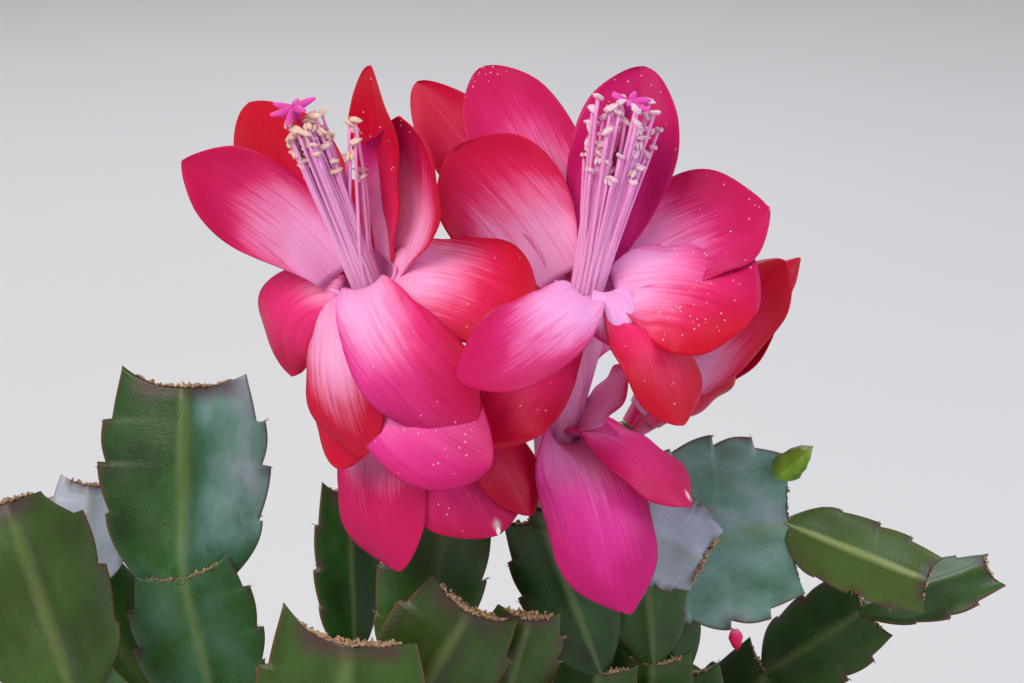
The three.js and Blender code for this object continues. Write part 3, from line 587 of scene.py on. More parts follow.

# %% [markdown]
# ## The left flower
#
# The numbers of each petal were found by laying it over the photograph. After the form come its tints: red
# is 0 for a magenta petal and 1 for a scarlet one, pale says how far the whitish heart reaches, and on some
# petals it reaches further to paint a highlight, dark deepens the tip, and flush reddens and darkens one
# margin more than the other, a painted shade on the side turned from the light. One low petal of each flower
# has been nibbled at its tip, which left a white torn edge.

# %% Petals of the left flower
LEFT_PETALS = [
    petal(38.5, 255, 35.5, 17.5, 13, 44, cup=0.25, roll=60, red=0.6, pale=0.8, dark=0.1, point=0.75),
    petal(37.5, 210, 36, 19, 10, 38, cup=0.05, red=1.0, pale=0.25, dark=0.7),
    petal(38.5, 122, 36.5, 18, 22, 13, cup=0.3, roll=4, red=1.0, pale=0.2, dark=0.5, point=0.7),
    petal(37.5, 98, 31, 24, 50, 12, cup=0.7, curl=-30, roll=-30, red=0.6, pale=0.8, flush=-0.6),
    petal(36.5, 63, 29.5, 24, 66, 126, cup=-0.3, roll=-15, red=1.0, pale=0.7, flush=0.1),
    petal(38.5, 3, 39, 20, 66, 166, cup=-0.5, sweep=37, red=0.5, pale=0.6, flush=0.3),
    petal(36.5, 338, 35, 16, 66, 180, cup=-0.5, bend=1.6, sweep=2, red=0.9, pale=1.1, dark=0.4),
    petal(35.5, 264, 27, 17, 52, 190, cup=-0.4, bend=1.5, roll=45, red=0.7, pale=0.3, dark=0.2),
    petal(24, 352, 40, 22, 62, 142, cup=-0.5, sweep=60, swell=0.42, red=0.2, pale=0.5, dark=-0.4),
    petal(22, 325, 26, 16, 50, 150, cup=-0.4, red=0.9, pale=0.3, dark=0.3),
    petal(8, 321, 34, 22, 62, 166, cup=-0.4, claw=0.7, sweep=24, red=0.45, pale=0.95, dark=1.0),
    petal(5, 22, 31, 25, 50, 158, cup=-0.4, red=0.6, pale=0.5, dark=-0.3, nibble=(0.1, 0.17, 0.06)),
    petal(6, 48, 32.5, 15, 50, 160, cup=-0.4, sweep=-16, red=0.9, pale=0.1, dark=0.5),
    petal(26, 190, 36, 18, 25, 80, cup=-0.2, red=0.6, pale=0.5),
    petal(22, 228, 27, 16, 35, 120, cup=-0.3, red=0.5, pale=0.4),
    petal(10, 200, 28, 15, 45, 135, cup=-0.3, red=0.7, pale=0.4),
]
chance_left = random.Random(7)
left_petals = [grow_petal(LEFT, p, chance_left) for p in LEFT_PETALS]
make_piece("left_flower_petals", [tube_skin(LEFT), *left_petals], [PETAL],
           ["flower_left_petals"])

# %% [markdown]
# ## The right flower
#
# It is the larger one and stands nearly upright, with a long petal hanging straight down in front. Its
# colour is cooler: the petals behind the threads and the hanging one are magenta, and only the margins turn
# red.

# %% Petals of the right flower
RIGHT_PETALS = [
    petal(37.5, 230, 42.5, 20.5, 20, 55, cup=0.1, roll=32, red=0.5, pale=0.8, dark=0.1),
    petal(38.5, 168, 39, 20, 6, 22, cup=0.3, red=0.2, pale=0.3, dark=0.9),
    petal(33, 237, 49.5, 15.5, 43, 60, roll=55, red=0.8, pale=0.3, dark=0.3),
    petal(37.5, 256, 31, 24, 40, 59, cup=0.25, roll=60, red=0.8, pale=0.75),
    petal(37.5, 108, 33, 25, 30, 70, cup=0.3, roll=-25, red=0.5, pale=0.8, dark=0.2, point=0.7),
    petal(32, 135, 35, 18, 50, 94, cup=-0.2, red=0.2, pale=0.4),
    petal(37.5, 70, 28, 27, 44, 95, cup=-0.3, roll=-35, red=0.75, pale=0.65, flush=-0.3),
    petal(37.5, 352, 43, 16.5, 58, 118, cup=-0.4, roll=15, sweep=-46, red=0.45, pale=0.85),
    petal(39, 30, 14, 14, 60, 150, cup=-0.6, red=0.1, pale=1.3),
    petal(36, 47, 30, 20, 62, 150, cup=-0.4, swell=0.45, red=1.0, pale=0.2, dark=0.2),
    petal(9, 56, 18, 11, 24, 32, cup=-0.2, roll=-45, red=0.4, pale=1.4),
    petal(26, 326, 31, 22, 46, 158, cup=-0.4, red=0.9, pale=0.3),
    petal(6, 22, 40.5, 22.5, 60, 165, cup=-0.5, claw=0.65, swell=0.42, sweep=23, red=0.05, pale=0.55,
          dark=0.3, point=0.75),
    petal(8, 60, 29, 18, 52, 122, cup=-0.4, red=0.5, pale=0.4, dark=0.3, point=0.7, nibble=(0.3, 0.2, 0.07)),
    petal(26, 195, 38, 18, 25, 85, cup=-0.2, red=0.4, pale=0.5),
    petal(20, 150, 34, 17, 35, 110, cup=-0.3, red=0.3, pale=0.4),
    petal(10, 210, 28, 15, 45, 135, cup=-0.3, red=0.5, pale=0.4),
]
chance_right = random.Random(19)
right_petals = [grow_petal(RIGHT, p, chance_right) for p in RIGHT_PETALS]
make_piece("right_flower_petals", [tube_skin(RIGHT), *right_petals], [PETAL],
           ["flower_right_petals"])

# %% [markdown]
# ## The bud
#
# Behind the right flower a bud is about to open. It is a spindle of rolled petals, red outside, with the
# tips still together and one short outer one that has started to bend away. A plain spindle with a painted
# swirl could stand for it. We lay five real petals round a twisted core, because their edges throw the thin
# shadows that make it look rolled.

# %% The bud's core and its scales
BUD_CORE = [(0, 2.6), (8, 4.8), (22, 6.6), (36, 5.8), (44, 2.8), (47.8, 0.3)]  # height, radius
BUD_TWIST = 40  # mm of height in which a ridge winds on to the place of the next
BUD_RIDGES = 3
BUD_SIDES = 60
BUD_SCALES = [
    petal(4, 335, 42, 19, 20, 4, cup=0.9, red=1.0, pale=0.75),
    petal(4, 140, 36, 17, 18, 2, cup=0.9, red=0.8, pale=0.3),
    petal(4, 255, 39, 17, 20, 3, cup=0.9, red=0.75, pale=0.9),
    petal(4, 65, 33, 17, 16, -3, cup=0.9, red=1.0, pale=0.1, dark=0.4),
    petal(3, 20, 22, 16, 22, 8, cup=0.7, red=1.0, pale=0.1, dark=0.5),
]


def bud_core():
    """The core is twisted like a rolled umbrella: three soft ridges wind round it."""
    high = np.linspace(0, BUD_CORE[-1][0], 50)
    profile = list(zip(high, np.interp(high, *np.array(BUD_CORE).T)))
    core = round_profile(BUD.base, BUD.axis, profile, BUD_SIDES)
    turn = np.tile(np.linspace(0, 2 * math.pi, BUD_SIDES, endpoint=False), len(profile))
    height = np.repeat(high, BUD_SIDES)
    middle = BUD.base + height[:, None] * BUD.axis
    roll = (turn * BUD_RIDGES / (2 * math.pi) + height / BUD_TWIST) % 1
    core.points = middle + (core.points - middle) * (0.93 + 0.12 * roll * ease(1, 0.8, roll))[:, None]
    everywhere = np.ones(len(turn))
    core.marks = dict(x_mm=roll * 9, y_mm=height, up=height / 48, across=roll * 2 - 1,
                      pale=0.5 * ease(8, 30, height), red=0.95 * everywhere, chance=0.8 * everywhere,
                      dark=0.1 * everywhere)
    return core


chance_bud = random.Random(5)
bud_scales = [grow_petal(BUD, p, chance_bud) for p in BUD_SCALES]
# a bud shows only the outside of its petals, and it is as fair as the inside of an open flower's
for scale in bud_scales:
    scale.marks["back"] = 0 * scale.marks["up"]
make_piece("bud_petals_rolled", [bud_core(), *bud_scales], [PETAL], ["bud_petals"])

# %% [markdown]
# ## Threads, pollen sacs and stigma
#
# From the throat of each open flower rises a tuft of threads, the stamens. A real one is about half a
# millimetre thick, and ours are drawn a little thicker so that each one shows. They are palest at the foot
# and pinker above, and each carries a pollen sac, cream in one flower and fresher and pinker in the other.
# In their middle stands the style, a red thread that ends in a small magenta star, the stigma. The sacs
# burst and scatter pollen grains over the petals.
#
# Hair could make such a tuft quickly, but hair isn't mesh and would be lost when the plant is handed on. So
# each thread is a body of rings along its own curve, and the grains are small lumps laid on the petals' own
# points.
#
# The thread's finish is plain living tissue, smooth and a little translucent. A pollen sac is dry and
# grainy, so it is rougher and its surface breaks into grains. They are drawn a quarter of a millimetre
# across, coarser than the real ones, so that they show.

# %% Finishes for threads, pollen and stigma
STREAK = 0.5  # mm across a thread
STREAK_LENGTH = 3.0
POLLEN_GRAIN = 0.25  # mm, drawn coarser than real grains so that they show
POLLEN_RELIEF = 0.06 * MM


def living_thread(name, low, high, roughness):
    material = new_finish(name)
    grain_at = place_on_skin(material, STREAK, STREAK_LENGTH)
    grain = add(material, "TexNoise", {"Vector": grain_at, "Scale": 1.0, "Detail": 2.0})
    streak = add(material, "Math", [grain, NOISE_MIDDLE], operation="SUBTRACT")
    up = add(material, "Attribute", output="Fac", attribute_name="up")
    height = add(material, "Math", [streak, 0.5, up], operation="MULTIPLY_ADD")
    height = add(material, "Clamp", [height])
    shade = add(material, "Mix", {SHARE: height, FIRST: colour(low), SECOND: colour(high)}, output=MIXED,
                data_type="RGBA")
    satin = add(material, "Math", [grain, 0.2, roughness], operation="MULTIPLY_ADD")
    return finished(material, {
        "Base Color": shade, "Roughness": satin, "IOR": 1.4, "Subsurface Weight": 0.15,
        "Subsurface Radius": (1.0, 0.4, 0.6), "Subsurface Scale": 0.8 * MM})


def dry_pollen(name, pale, dark):
    material = new_finish(name)
    spot = add(material, "TexCoord", output="Object")
    grain = add(material, "TexVoronoi", {"Vector": spot, "Scale": 1 / (POLLEN_GRAIN * MM)}, output="Distance")
    shade = add(material, "Mix", {SHARE: grain, FIRST: colour(pale), SECOND: colour(dark)}, output=MIXED,
                data_type="RGBA")
    relief = add(material, "Bump", {"Height": grain, "Strength": 0.5, "Distance": POLLEN_RELIEF}, invert=True)
    return finished(material, {"Base Color": shade, "Roughness": 0.85, "Normal": relief, "IOR": 1.45})


FILAMENT = living_thread("filament_tissue_pinkish_lilac", "#ffcdf0", "#f49ddc", 0.4)
STYLE = living_thread("style_tissue_red_pink", "#e06ab0", "#c40f4c", 0.3)
STIGMA = living_thread("stigma_tissue_magenta", "#c01a8a", "#ea55ba", 0.45)
POLLEN = dry_pollen("pollen_dry_cream", "#fbe6d6", "#dcae98")
FRESH_POLLEN = dry_pollen("pollen_fresh_pinkish", "#fdeaf0", "#e0a8c0")
print("five finishes for the tufts")

# %% Grow a tuft
THROAT = 39.5  # height where the threads leave the tube
TUFT_LOW = 8  # height where they grow together in one ring
FILAMENT_RADIUS = 0.42  # a little more than life, so that each thread shows
FILAMENT_POINTS = 15
SAC_WIDTH = 0.8


def flower_sides(flower):
    """The direction to the right in the picture, square to the flower's axis, and the one away from us."""
    side = unit(np.array([1, 0, 0]) - flower.axis[0] * flower.axis)
    return side, np.cross(flower.axis, side)


def tuft(flower, groups, seed):
    """Threads and pollen sacs. A group is (count, lowest tip, highest, spread, lean right, away, turn)."""
    draw = random.Random(seed)
    side, away = flower_sides(flower)
    ring = [(TUFT_LOW, 1.1), (TUFT_LOW, 2.6), (TUFT_LOW + 3, 2.6), (TUFT_LOW + 3, 1.1)]
    threads = [round_profile(flower.base, flower.axis, ring, 24, up=0.1)]
    width = FILAMENT_RADIUS * np.linspace(1.1, 0.75, FILAMENT_POINTS)
    share = np.linspace(0, 1, FILAMENT_POINTS)[:, None]
    sacs = []
    for count, lowest, highest, spread, right, back, first in groups:
        for k in range(count):
            turn = first + 2 * math.pi * (k + 0.6 * draw.random()) / count
            reach = mix(lowest, highest, draw.random())
            fan = spread * draw.uniform(0.25, 1)
            sway = draw.uniform(-0.5, 0.5)

            def at(height, radius):
                lean = float(ease(THROAT - 3, highest, height))
                to_side = radius * math.cos(turn) + right * lean + sway * lean
                return (flower.base + flower.axis * height + side * to_side
                        + away * (radius * math.sin(turn) + back * lean))

            few = [at(TUFT_LOW + 2, 1.8), at(24, 2.2), at(THROAT, mix(1.9, 2.9, draw.random())),
                   at(mix(THROAT, reach, 0.5), mix(2.6, fan, 0.45)), at(reach, fan)]
            path = smooth_path(few, FILAMENT_POINTS)
            threads.append(along_path(path, width, 6, up=share, y_mm=share * 60, x_mm=0.0,
                                      chance=draw.random()))
            sacs += pollen_sac(path[-1], unit(path[-1] - path[-3]), draw)
    return threads, sacs


def pollen_sac(tip, along, draw):
    """Two bean-shaped halves side by side, set across the end of the thread."""
    across = unit(np.cross(along, (draw.uniform(-1, 1), draw.uniform(-1, 1), draw.uniform(-0.3, 0.3))))
    beside = np.cross(along, across)
    way = unit(across + along * draw.uniform(-0.9, 0.9))
    return [lump(tip + along * 0.4 + beside * gap, way, draw.uniform(1.5, 2.9), SAC_WIDTH, draw, rough=0.36,
                 level=2) for gap in (-0.35, 0.35)]


STYLE_RADIUS = 0.55


def style_and_stigma(flower, height, bend, count, droop, seed):
    """The style's thread, and the narrow lobes of the stigma, count of them, spread at its end."""
    draw = random.Random(seed)
    side, away = flower_sides(flower)

    def at(h, x):
        return flower.base + flower.axis * h + side * x

    few = [at(TUBE_FLOOR + 0.3, 0), at(30, 0), at(mix(30, height, 0.55), bend * 0.4), at(height, bend)]
    path = smooth_path(few, 30)
    share = np.linspace(0, 1, 30)[:, None]
    thread = along_path(path, STYLE_RADIUS, 10, up=share, y_mm=share * 70, x_mm=0.0, chance=0.2)
    end = path[-1]
    along = unit(end - path[-4])
    star = []
    for k in range(count):
        turn = 2 * math.pi * (k + 0.3) / count
        way = unit(along * mix(0.7, 0.2, draw.random()) + side * math.cos(turn) + away * math.sin(turn)
                   - np.array([0, 0, droop]))
        few = [end - along, end + along * 0.9 + way * 0.5, end + along * 1.2 + way * 2.3,
               end + along * draw.uniform(0.4, 1.6) + way * 4.3]
        lobe = smooth_path(few, 12)
        thick = 0.75 * np.sin(np.linspace(0.5, math.pi * 0.93, 12)) ** 0.7
        star.append(along_path(lobe, thick, 8, finish=1, up=np.linspace(0, 1, 12)[:, None],
                               chance=draw.random()))
    return [thread, *star]


LEFT_TUFT = [(66, 60, 71, 3.9, -0.4, 0.0, 0.4), (8, 56, 69, 2.0, 7.4, 1.5, 0.0)]
RIGHT_TUFT = [(68, 60, 75, 6.0, -0.8, 0.0, 0.2), (10, 58, 70, 4.0, 5.0, 1.5, 1.0)]
for name, flower, groups, pollen, seed in (("left", LEFT, LEFT_TUFT, POLLEN, 11),
                                           ("right", RIGHT, RIGHT_TUFT, FRESH_POLLEN, 23)):
    threads, sacs = tuft(flower, groups, seed)
    make_piece(f"{name}_flower_filaments", threads, [FILAMENT], [f"flower_{name}_stamens"])
    make_piece(f"{name}_flower_pollen_sacs", sacs, [pollen])
left_style = style_and_stigma(LEFT, height=72.5, bend=-0.8, count=6, droop=0.5, seed=3)
right_style = style_and_stigma(RIGHT, height=72.5, bend=0.6, count=6, droop=0.1, seed=4)
make_piece("left_flower_style", left_style, [STYLE, STIGMA], ["flower_left_style"])
make_piece("right_flower_style", right_style, [STYLE, STIGMA], ["flower_right_style"])

# %% Scatter pollen grains over the petals
def pollen_on(bodies, spots, seed):
    """spots is a list of (petal number, grains, lowest and highest share up it, widest share across it)."""
    draw = random.Random(seed)
    rows, columns = len(PETAL_ROWS), len(PETAL_COLUMNS)
    grains = []
    for number, count, low, high, across in spots:
        inner = bodies[number].points[: rows * columns].reshape(rows, columns, 3)
        for _ in range(count):
            i = int(np.searchsorted(PETAL_ROWS, draw.uniform(low, high)).clip(1, rows - 1))
            j = int(np.searchsorted(PETAL_COLUMNS, draw.uniform(-across, across)).clip(1, columns - 1))
            spot = mix(inner[i - 1, j - 1], inner[i, j], draw.random())
            size = draw.uniform(0.16, 0.34)
            way = (draw.uniform(-1, 1), draw.uniform(-1, 1), 1)
            grains.append(lump(spot, way, size * 1.3, size, draw, rough=0.2))
    return grains


ON_LEFT = [(8, 26, 0.5, 0.98, 0.9), (4, 9, 0.6, 0.99, 0.9), (3, 8, 0.6, 0.99, 0.95), (2, 8, 0.4, 0.99, 0.95),
           (5, 6, 0.4, 0.95, 0.8), (11, 8, 0.3, 0.9, 0.8)]
ON_RIGHT = [(6, 44, 0.35, 0.85, 0.8), (0, 14, 0.9, 1.0, 1.0), (1, 16, 0.6, 1.0, 1.0), (4, 14, 0.6, 1.0, 1.0),
            (11, 14, 0.4, 0.9, 0.8), (9, 5, 0.3, 0.9, 0.8)]
make_piece("left_flower_pollen_grains", pollen_on(left_petals, ON_LEFT, 31), [POLLEN])
make_piece("right_flower_pollen_grains", pollen_on(right_petals, ON_RIGHT, 32), [POLLEN])

# %% [markdown]
# ## The skin of the stems
#
# A christmas cactus has no leaves. Its flat green joints are pieces of stem with a thick, waxy, leathery
# skin. The wax gives a broad soft shine, so that joints which face the sky look pale and bluish, and the
# ones in shade a deep green. Round each areole, the little cushion in every notch of the margin, the skin is
# flushed purple-brown, and the oldest joints turn to brown cork. Young growth is a fresh yellow-green. The
# greens could be painted joint by joint. A ramp of greens, driven by one mark for each joint and a soft
# noise, gives the same spread by itself. Its deep end is painted shade and its pale bluish end a painted
# reflection of the sky, and in between the joints differ in their own green.
#
# The skin reads its marks in the same way as a petal: tone (0 deep green, a painted shade, 1 pale
# blue-green, a painted reflection of the sky), olive, wood, areole and rib. Cork is dead and dry, so it is
# matt and crumbles into grains about a millimetre across.

# %% Waxy skin
CLOUD = 7.0  # mm across a lighter or darker cloud in the green
CLOUD_LENGTH = 11.0
PORE = 0.45  # mm, drawn coarser than the real pores so that they show
WAX_RELIEF = 0.25 * MM


def waxy_skin(name, tones, rib):
    """tones run from the darkest green, a painted shade, to the palest, a painted reflection of the sky.

    rib is the colour of the midrib.
    """
    material = new_finish(name)
    tone, olive, across, ribbed, areole, wood = (
        add(material, "Attribute", output="Fac", attribute_name=mark)
        for mark in ("tone", "olive", "across", "rib", "areole", "wood"))
    cloud_at = place_on_skin(material, CLOUD, CLOUD_LENGTH)
    clouds = add(material, "TexNoise", {"Vector": cloud_at, "Scale": 1.0, "Detail": 4.0})
    cloud = add(material, "Math", [clouds, NOISE_MIDDLE], operation="SUBTRACT")
    pore_at = place_on_skin(material, PORE, PORE)
    pores = add(material, "TexNoise", {"Vector": pore_at, "Scale": 1.0, "Detail": 2.0})
    pore = add(material, "Math", [pores, NOISE_MIDDLE], operation="SUBTRACT")

    # the tone mark paints light and shade: low is the deep green of a joint in shade, high the sky's
    # reflection
    tone = add(material, "Math", [cloud, 0.7, tone], operation="MULTIPLY_ADD")
    tone = add(material, "Math", [pore, 0.12, tone], operation="MULTIPLY_ADD")
    green = add(material, "ValToRGB", {"Fac": tone},
                stops=[(k / (len(tones) - 1), shade) for k, shade in enumerate(tones)])

    across = add(material, "Math", [across], operation="ABSOLUTE")
    on_rib = add(material, "MapRange", {"Value": across, "From Min": 0.14, "From Max": 0.03})
    on_rib = add(material, "Math", [on_rib, ribbed], operation="MULTIPLY")
    blush = add(material, "Math", [cloud, 1.4, areole], operation="MULTIPLY_ADD")
    blush = add(material, "MapRange", {"Value": blush, "From Min": 0.25, "From Max": 0.95, "To Max": 0.85})
    on_margin = add(material, "MapRange", {"Value": across, "From Min": 0.955, "From Max": 1.0,
                                           "To Max": 0.75})
    bark = add(material, "Math", [cloud, 0.9, wood], operation="MULTIPLY_ADD")
    bark = add(material, "MapRange", {"Value": bark, "From Min": 0.35, "From Max": 0.7})
    for share, shade in ((olive, "#5c6420"), (on_rib, rib), (blush, "#4a2a30"), (on_margin, "#6a4126"),
                         (bark, "#6b5741")):
        green = add(material, "Mix", {SHARE: share, FIRST: green, SECOND: colour(shade)}, output=MIXED,
                    data_type="RGBA")

    shine = add(material, "Math", [clouds, 0.22, 0.3], operation="MULTIPLY_ADD")
    shine = add(material, "Math", [bark, 0.35, shine], operation="MULTIPLY_ADD")
    height = add(material, "Math", [clouds, 2.5, pores], operation="MULTIPLY_ADD")
    relief = add(material, "Bump", {"Height": height, "Strength": 0.3, "Distance": WAX_RELIEF})
    return finished(material, {
        "Base Color": green, "Roughness": shine, "Normal": relief, "IOR": 1.5, "Specular IOR Level": 0.4,
        "Coat Weight": 0.05, "Coat Roughness": 0.35})


SKIN = waxy_skin("stem_skin_waxy_green", rib="#8d9c5c",
                 tones=["#102708", "#1f4710", "#2e5e24", "#447559", "#739f96", "#aab4c6"])
YOUNG_SKIN = waxy_skin("young_skin_yellow_green", rib="#b4cf6a", tones=["#4a861a", "#7aad2c", "#a4c844"])
print("one finish for grown joints and one for young growth")

# %% Dry cork
CORK_CRUMB = 0.9  # mm
CORK_RELIEF = 0.3 * MM


def dry_cork(name, deep, pale):
    material = new_finish(name)
    spot = add(material, "TexCoord", output="Object")
    crumbs = add(material, "TexNoise", {"Vector": spot, "Scale": 1 / (CORK_CRUMB * MM), "Detail": 4.0,
                                        "Roughness": 0.7})
    crumb = add(material, "Math", [crumbs, NOISE_MIDDLE], operation="SUBTRACT")
    light = add(material, "Attribute", output="Fac", attribute_name="light")
    light = add(material, "Math", [crumb, 2.2, light], operation="MULTIPLY_ADD")
    light = add(material, "Clamp", [light])
    shade = add(material, "Mix", {SHARE: light, FIRST: colour(deep), SECOND: colour(pale)}, output=MIXED,
                data_type="RGBA")
    relief = add(material, "Bump", {"Height": crumbs, "Strength": 0.9, "Distance": CORK_RELIEF})
    return finished(material, {"Base Color": shade, "Roughness": 0.9, "Normal": relief, "IOR": 1.45})


CORK = dry_cork("cork_dry_tan", "#2c1d16", "#bd9c78")
print("one finish for the corky ends and the bristles")

# %% [markdown]
# ## One joint of a stem
#
# A joint grows from a narrow neck, broadens, and ends as if it had been cut off, with a little horn at each
# corner. Its margins carry forward-pointing teeth with an areole in the notch behind each. Down the middle
# runs a firm midrib. The wings on either side are thin and wave a little. A flat card cut to the outline
# would do for a plant in the distance. Here the light runs over the rib and the margins, so each joint is a
# real body with a thickness.
#
# We lay a joint as a slab too. The margin is a formula: lobes that swell and step back at each notch. The
# places of the notches differ a little from side to side, because chance draws them, as on the real plant.

# %% The outline of a margin
NECK = 2.6  # mm, the least width where a joint starts
JOINT_RIDGE = 1.7  # half the thickness along the midrib
JOINT_RIB = 0.75  # how much of it is the midrib itself
RIB_WIDTH = 1.5  # mm from its middle to where it fades
JOINT_MARGIN = 0.5
NOTCHES = (0.335, 0.585, 0.825)
TOOTH = 0.016  # how far a tooth runs ahead, as a share of the joint's length
JOINT_ROWS = np.linspace(0, 1, 64)
WING_COLUMNS = [0.09, 0.18, 0.3, 0.45, 0.62, 0.78, 0.9, 0.97, 1]  # closer together at the rib and the margin
JOINT_COLUMNS = np.array([-c for c in WING_COLUMNS[::-1]] + [0] + WING_COLUMNS)


def lobes(neck, tip):
    """The share of the half width at the start and end of each lobe. A leaf-like sprout ends in a point."""
    if tip < 0.3:
        return (neck, 1.0), (0.99, 0.8), (0.79, 0.5), (0.49, tip)
    return (neck, 0.94), (0.89, 1.04), (0.93, 0.97), (0.87, tip)


def margin(neck, tip, draw):
    """Half-width share and how far each row's end runs ahead, for one side of a joint, at JOINT_ROWS."""
    bounds = [0, *(n + draw.uniform(-0.03, 0.03) for n in NOTCHES), 1]
    wide, ahead = np.zeros(len(JOINT_ROWS)), np.zeros(len(JOINT_ROWS))
    for k, (start, end) in enumerate(lobes(neck, tip)):
        u = (JOINT_ROWS - bounds[k]) / (bounds[k + 1] - bounds[k])
        here = (u >= 0) & (u <= 1)
        swell = np.sin(math.pi / 2 * np.clip(u, 0, 1)) ** (0.9 if k == 0 else 1)
        lobe = mix(start, end, swell) + (0.035 * np.sin(math.pi * u) if k > 1 else 0)
        wide[here] = lobe[here]
        tooth = TOOTH * draw.uniform(0.2, 1.3) if k < 3 else 0
        ahead[here] = (tooth * np.clip(u, 0, 1) ** 5)[here]
    return wide, ahead


print("the notches lie at", NOTCHES, "of a joint's length")

# %% Lay a joint
CUP = -0.2  # the bend across a joint, in radians from the midrib to a margin
HORN = 0.07  # how far a horn stands out, as a share of the joint's length


def joint(start, end, width, face, draw, tone=0.35, olive=0.0, wood=0.0, cut_off=0.0, horn=1.0, fold=0.0,
          neck=0.1, tip=0.74, lit=0.0, rib_light=0.25, finish=0):
    """The slab of one joint, and the line along its cut-off end.

    lit paints light on one wing and shade on the other.
    """
    start, end = np.asarray(start, float), np.asarray(end, float)
    along = end - start
    length = np.linalg.norm(along)
    along /= length
    out = unit(np.asarray(face, float) - np.dot(face, along) * along)
    side = np.cross(out, along)
    s, t = JOINT_ROWS[:, None], JOINT_COLUMNS[None, :]
    left, right = margin(neck, tip, draw), margin(neck, tip, draw)
    wide = np.where(t < 0, left[0][:, None], right[0][:, None])
    wide = mix(0.5 * (left[0] + right[0])[:, None], wide, np.abs(t) ** 0.5)
    half = np.maximum(width / 2 * wide, np.where(s < 0.5, NECK / 2, 0.3))
    ahead = np.where(t < 0, left[1][:, None], right[1][:, None]) * np.abs(t) ** 6
    horns = np.where(t > 0, *horn) if isinstance(horn, tuple) else horn
    ahead = ahead + HORN * horns * np.clip((s - 0.85) / 0.15, 0, 1) * np.abs(t) ** 2.4
    a, b, c = (draw.uniform(0, 2 * math.pi) for _ in range(3))
    wave = 0.5 * np.abs(t) ** 2 * np.sin(7 * s + 1.5 * t + a) + 0.22 * np.sin(11 * s + b) * np.sin(4 * t + c)
    wave = wave * ease(0.0, 0.25, s)
    bend = half * (1 - np.cos(CUP * t)) / CUP + fold * half * np.abs(t)
    to_side = half * np.sin(CUP * t) / CUP
    middle = (start + (length * (s + ahead))[..., None] * along + to_side[..., None] * side
              + (bend + wave)[..., None] * out)
    rib = JOINT_RIB * np.exp(-((half * t / RIB_WIDTH) ** 2))
    wing = mix(JOINT_RIDGE - JOINT_RIB, JOINT_MARGIN, np.abs(t) ** 1.5) * (1 - 0.55 * ease(0.9, 1, np.abs(t)))
    thick = (rib + wing) * mix(0.75, 1, ease(0, 0.2, s)) * mix(1, 0.7, ease(0.93, 1, s))
    x_mm = half * t
    y_mm = length * s + 0 * t
    areole = np.zeros_like(x_mm)
    for way, n in [(w, n) for w in (-1, 1) for n in NOTCHES]:
        far = ((x_mm - way * width / 2) / 2.2) ** 2 + ((y_mm - n * length) / 2.4) ** 2
        areole = np.maximum(areole, 0.8 * np.exp(-far))
    areole = np.maximum(areole, (0.35 + 0.5 * cut_off) * ease(0.86, 1.0, s) * ease(1.05, 0.6, np.abs(t)))
    old = np.clip(wood * (1.4 - s), 0, 1) * np.ones_like(x_mm)
    # painted light and shade: lit makes one wing paler and the other darker, as the light falls across the
    # joint
    shade = tone + lit * (ease(-0.35, 0.45, -t) - 0.5) * ease(0, 0.3, s)
    skin = slab(middle + thick[..., None] * out, middle - thick[..., None] * out, finish, across=t, up=s,
                x_mm=x_mm, y_mm=y_mm, chance=draw.random(), areole=areole, wood=old, tone=shade, olive=olive,
                rib=rib_light * np.ones_like(x_mm))
    notch_rows = [int(n * (len(JOINT_ROWS) - 1)) for n in NOTCHES]
    notches = [(middle[i, j], side * way) for i in notch_rows for j, way in ((0, -1), (-1, 1))]
    return SimpleNamespace(skin=skin, end=middle[-1], thick=thick[-1], along=along, out=out, notches=notches)


print("a joint is laid on", len(JOINT_ROWS), "by", len(JOINT_COLUMNS), "points")

# %% [markdown]
# ## Cork and bristles
#
# The cut-off end of a joint is a long areole. On an old one it has dried to a crumbling strip of tan cork,
# dark brown where it meets the green. A bump in the finish could hint at it, but the crumbs stand out
# against what is behind them. So we lay a rough cord along the end and press small lumps into it, more of
# them the older the end is. In each notch stand two stiff bristles, a millimetre or more long.

# %% Crumbling cork along an end, and bristles in the notches
CORK_FINISH = 1  # its number in a stem's list of finishes
CORD_POINTS = 44
CRUMBS = 80  # on an end of full strength
BRISTLES = 2  # in a notch
BRISTLE_RADII = [0.11, 0.08, 0.02]


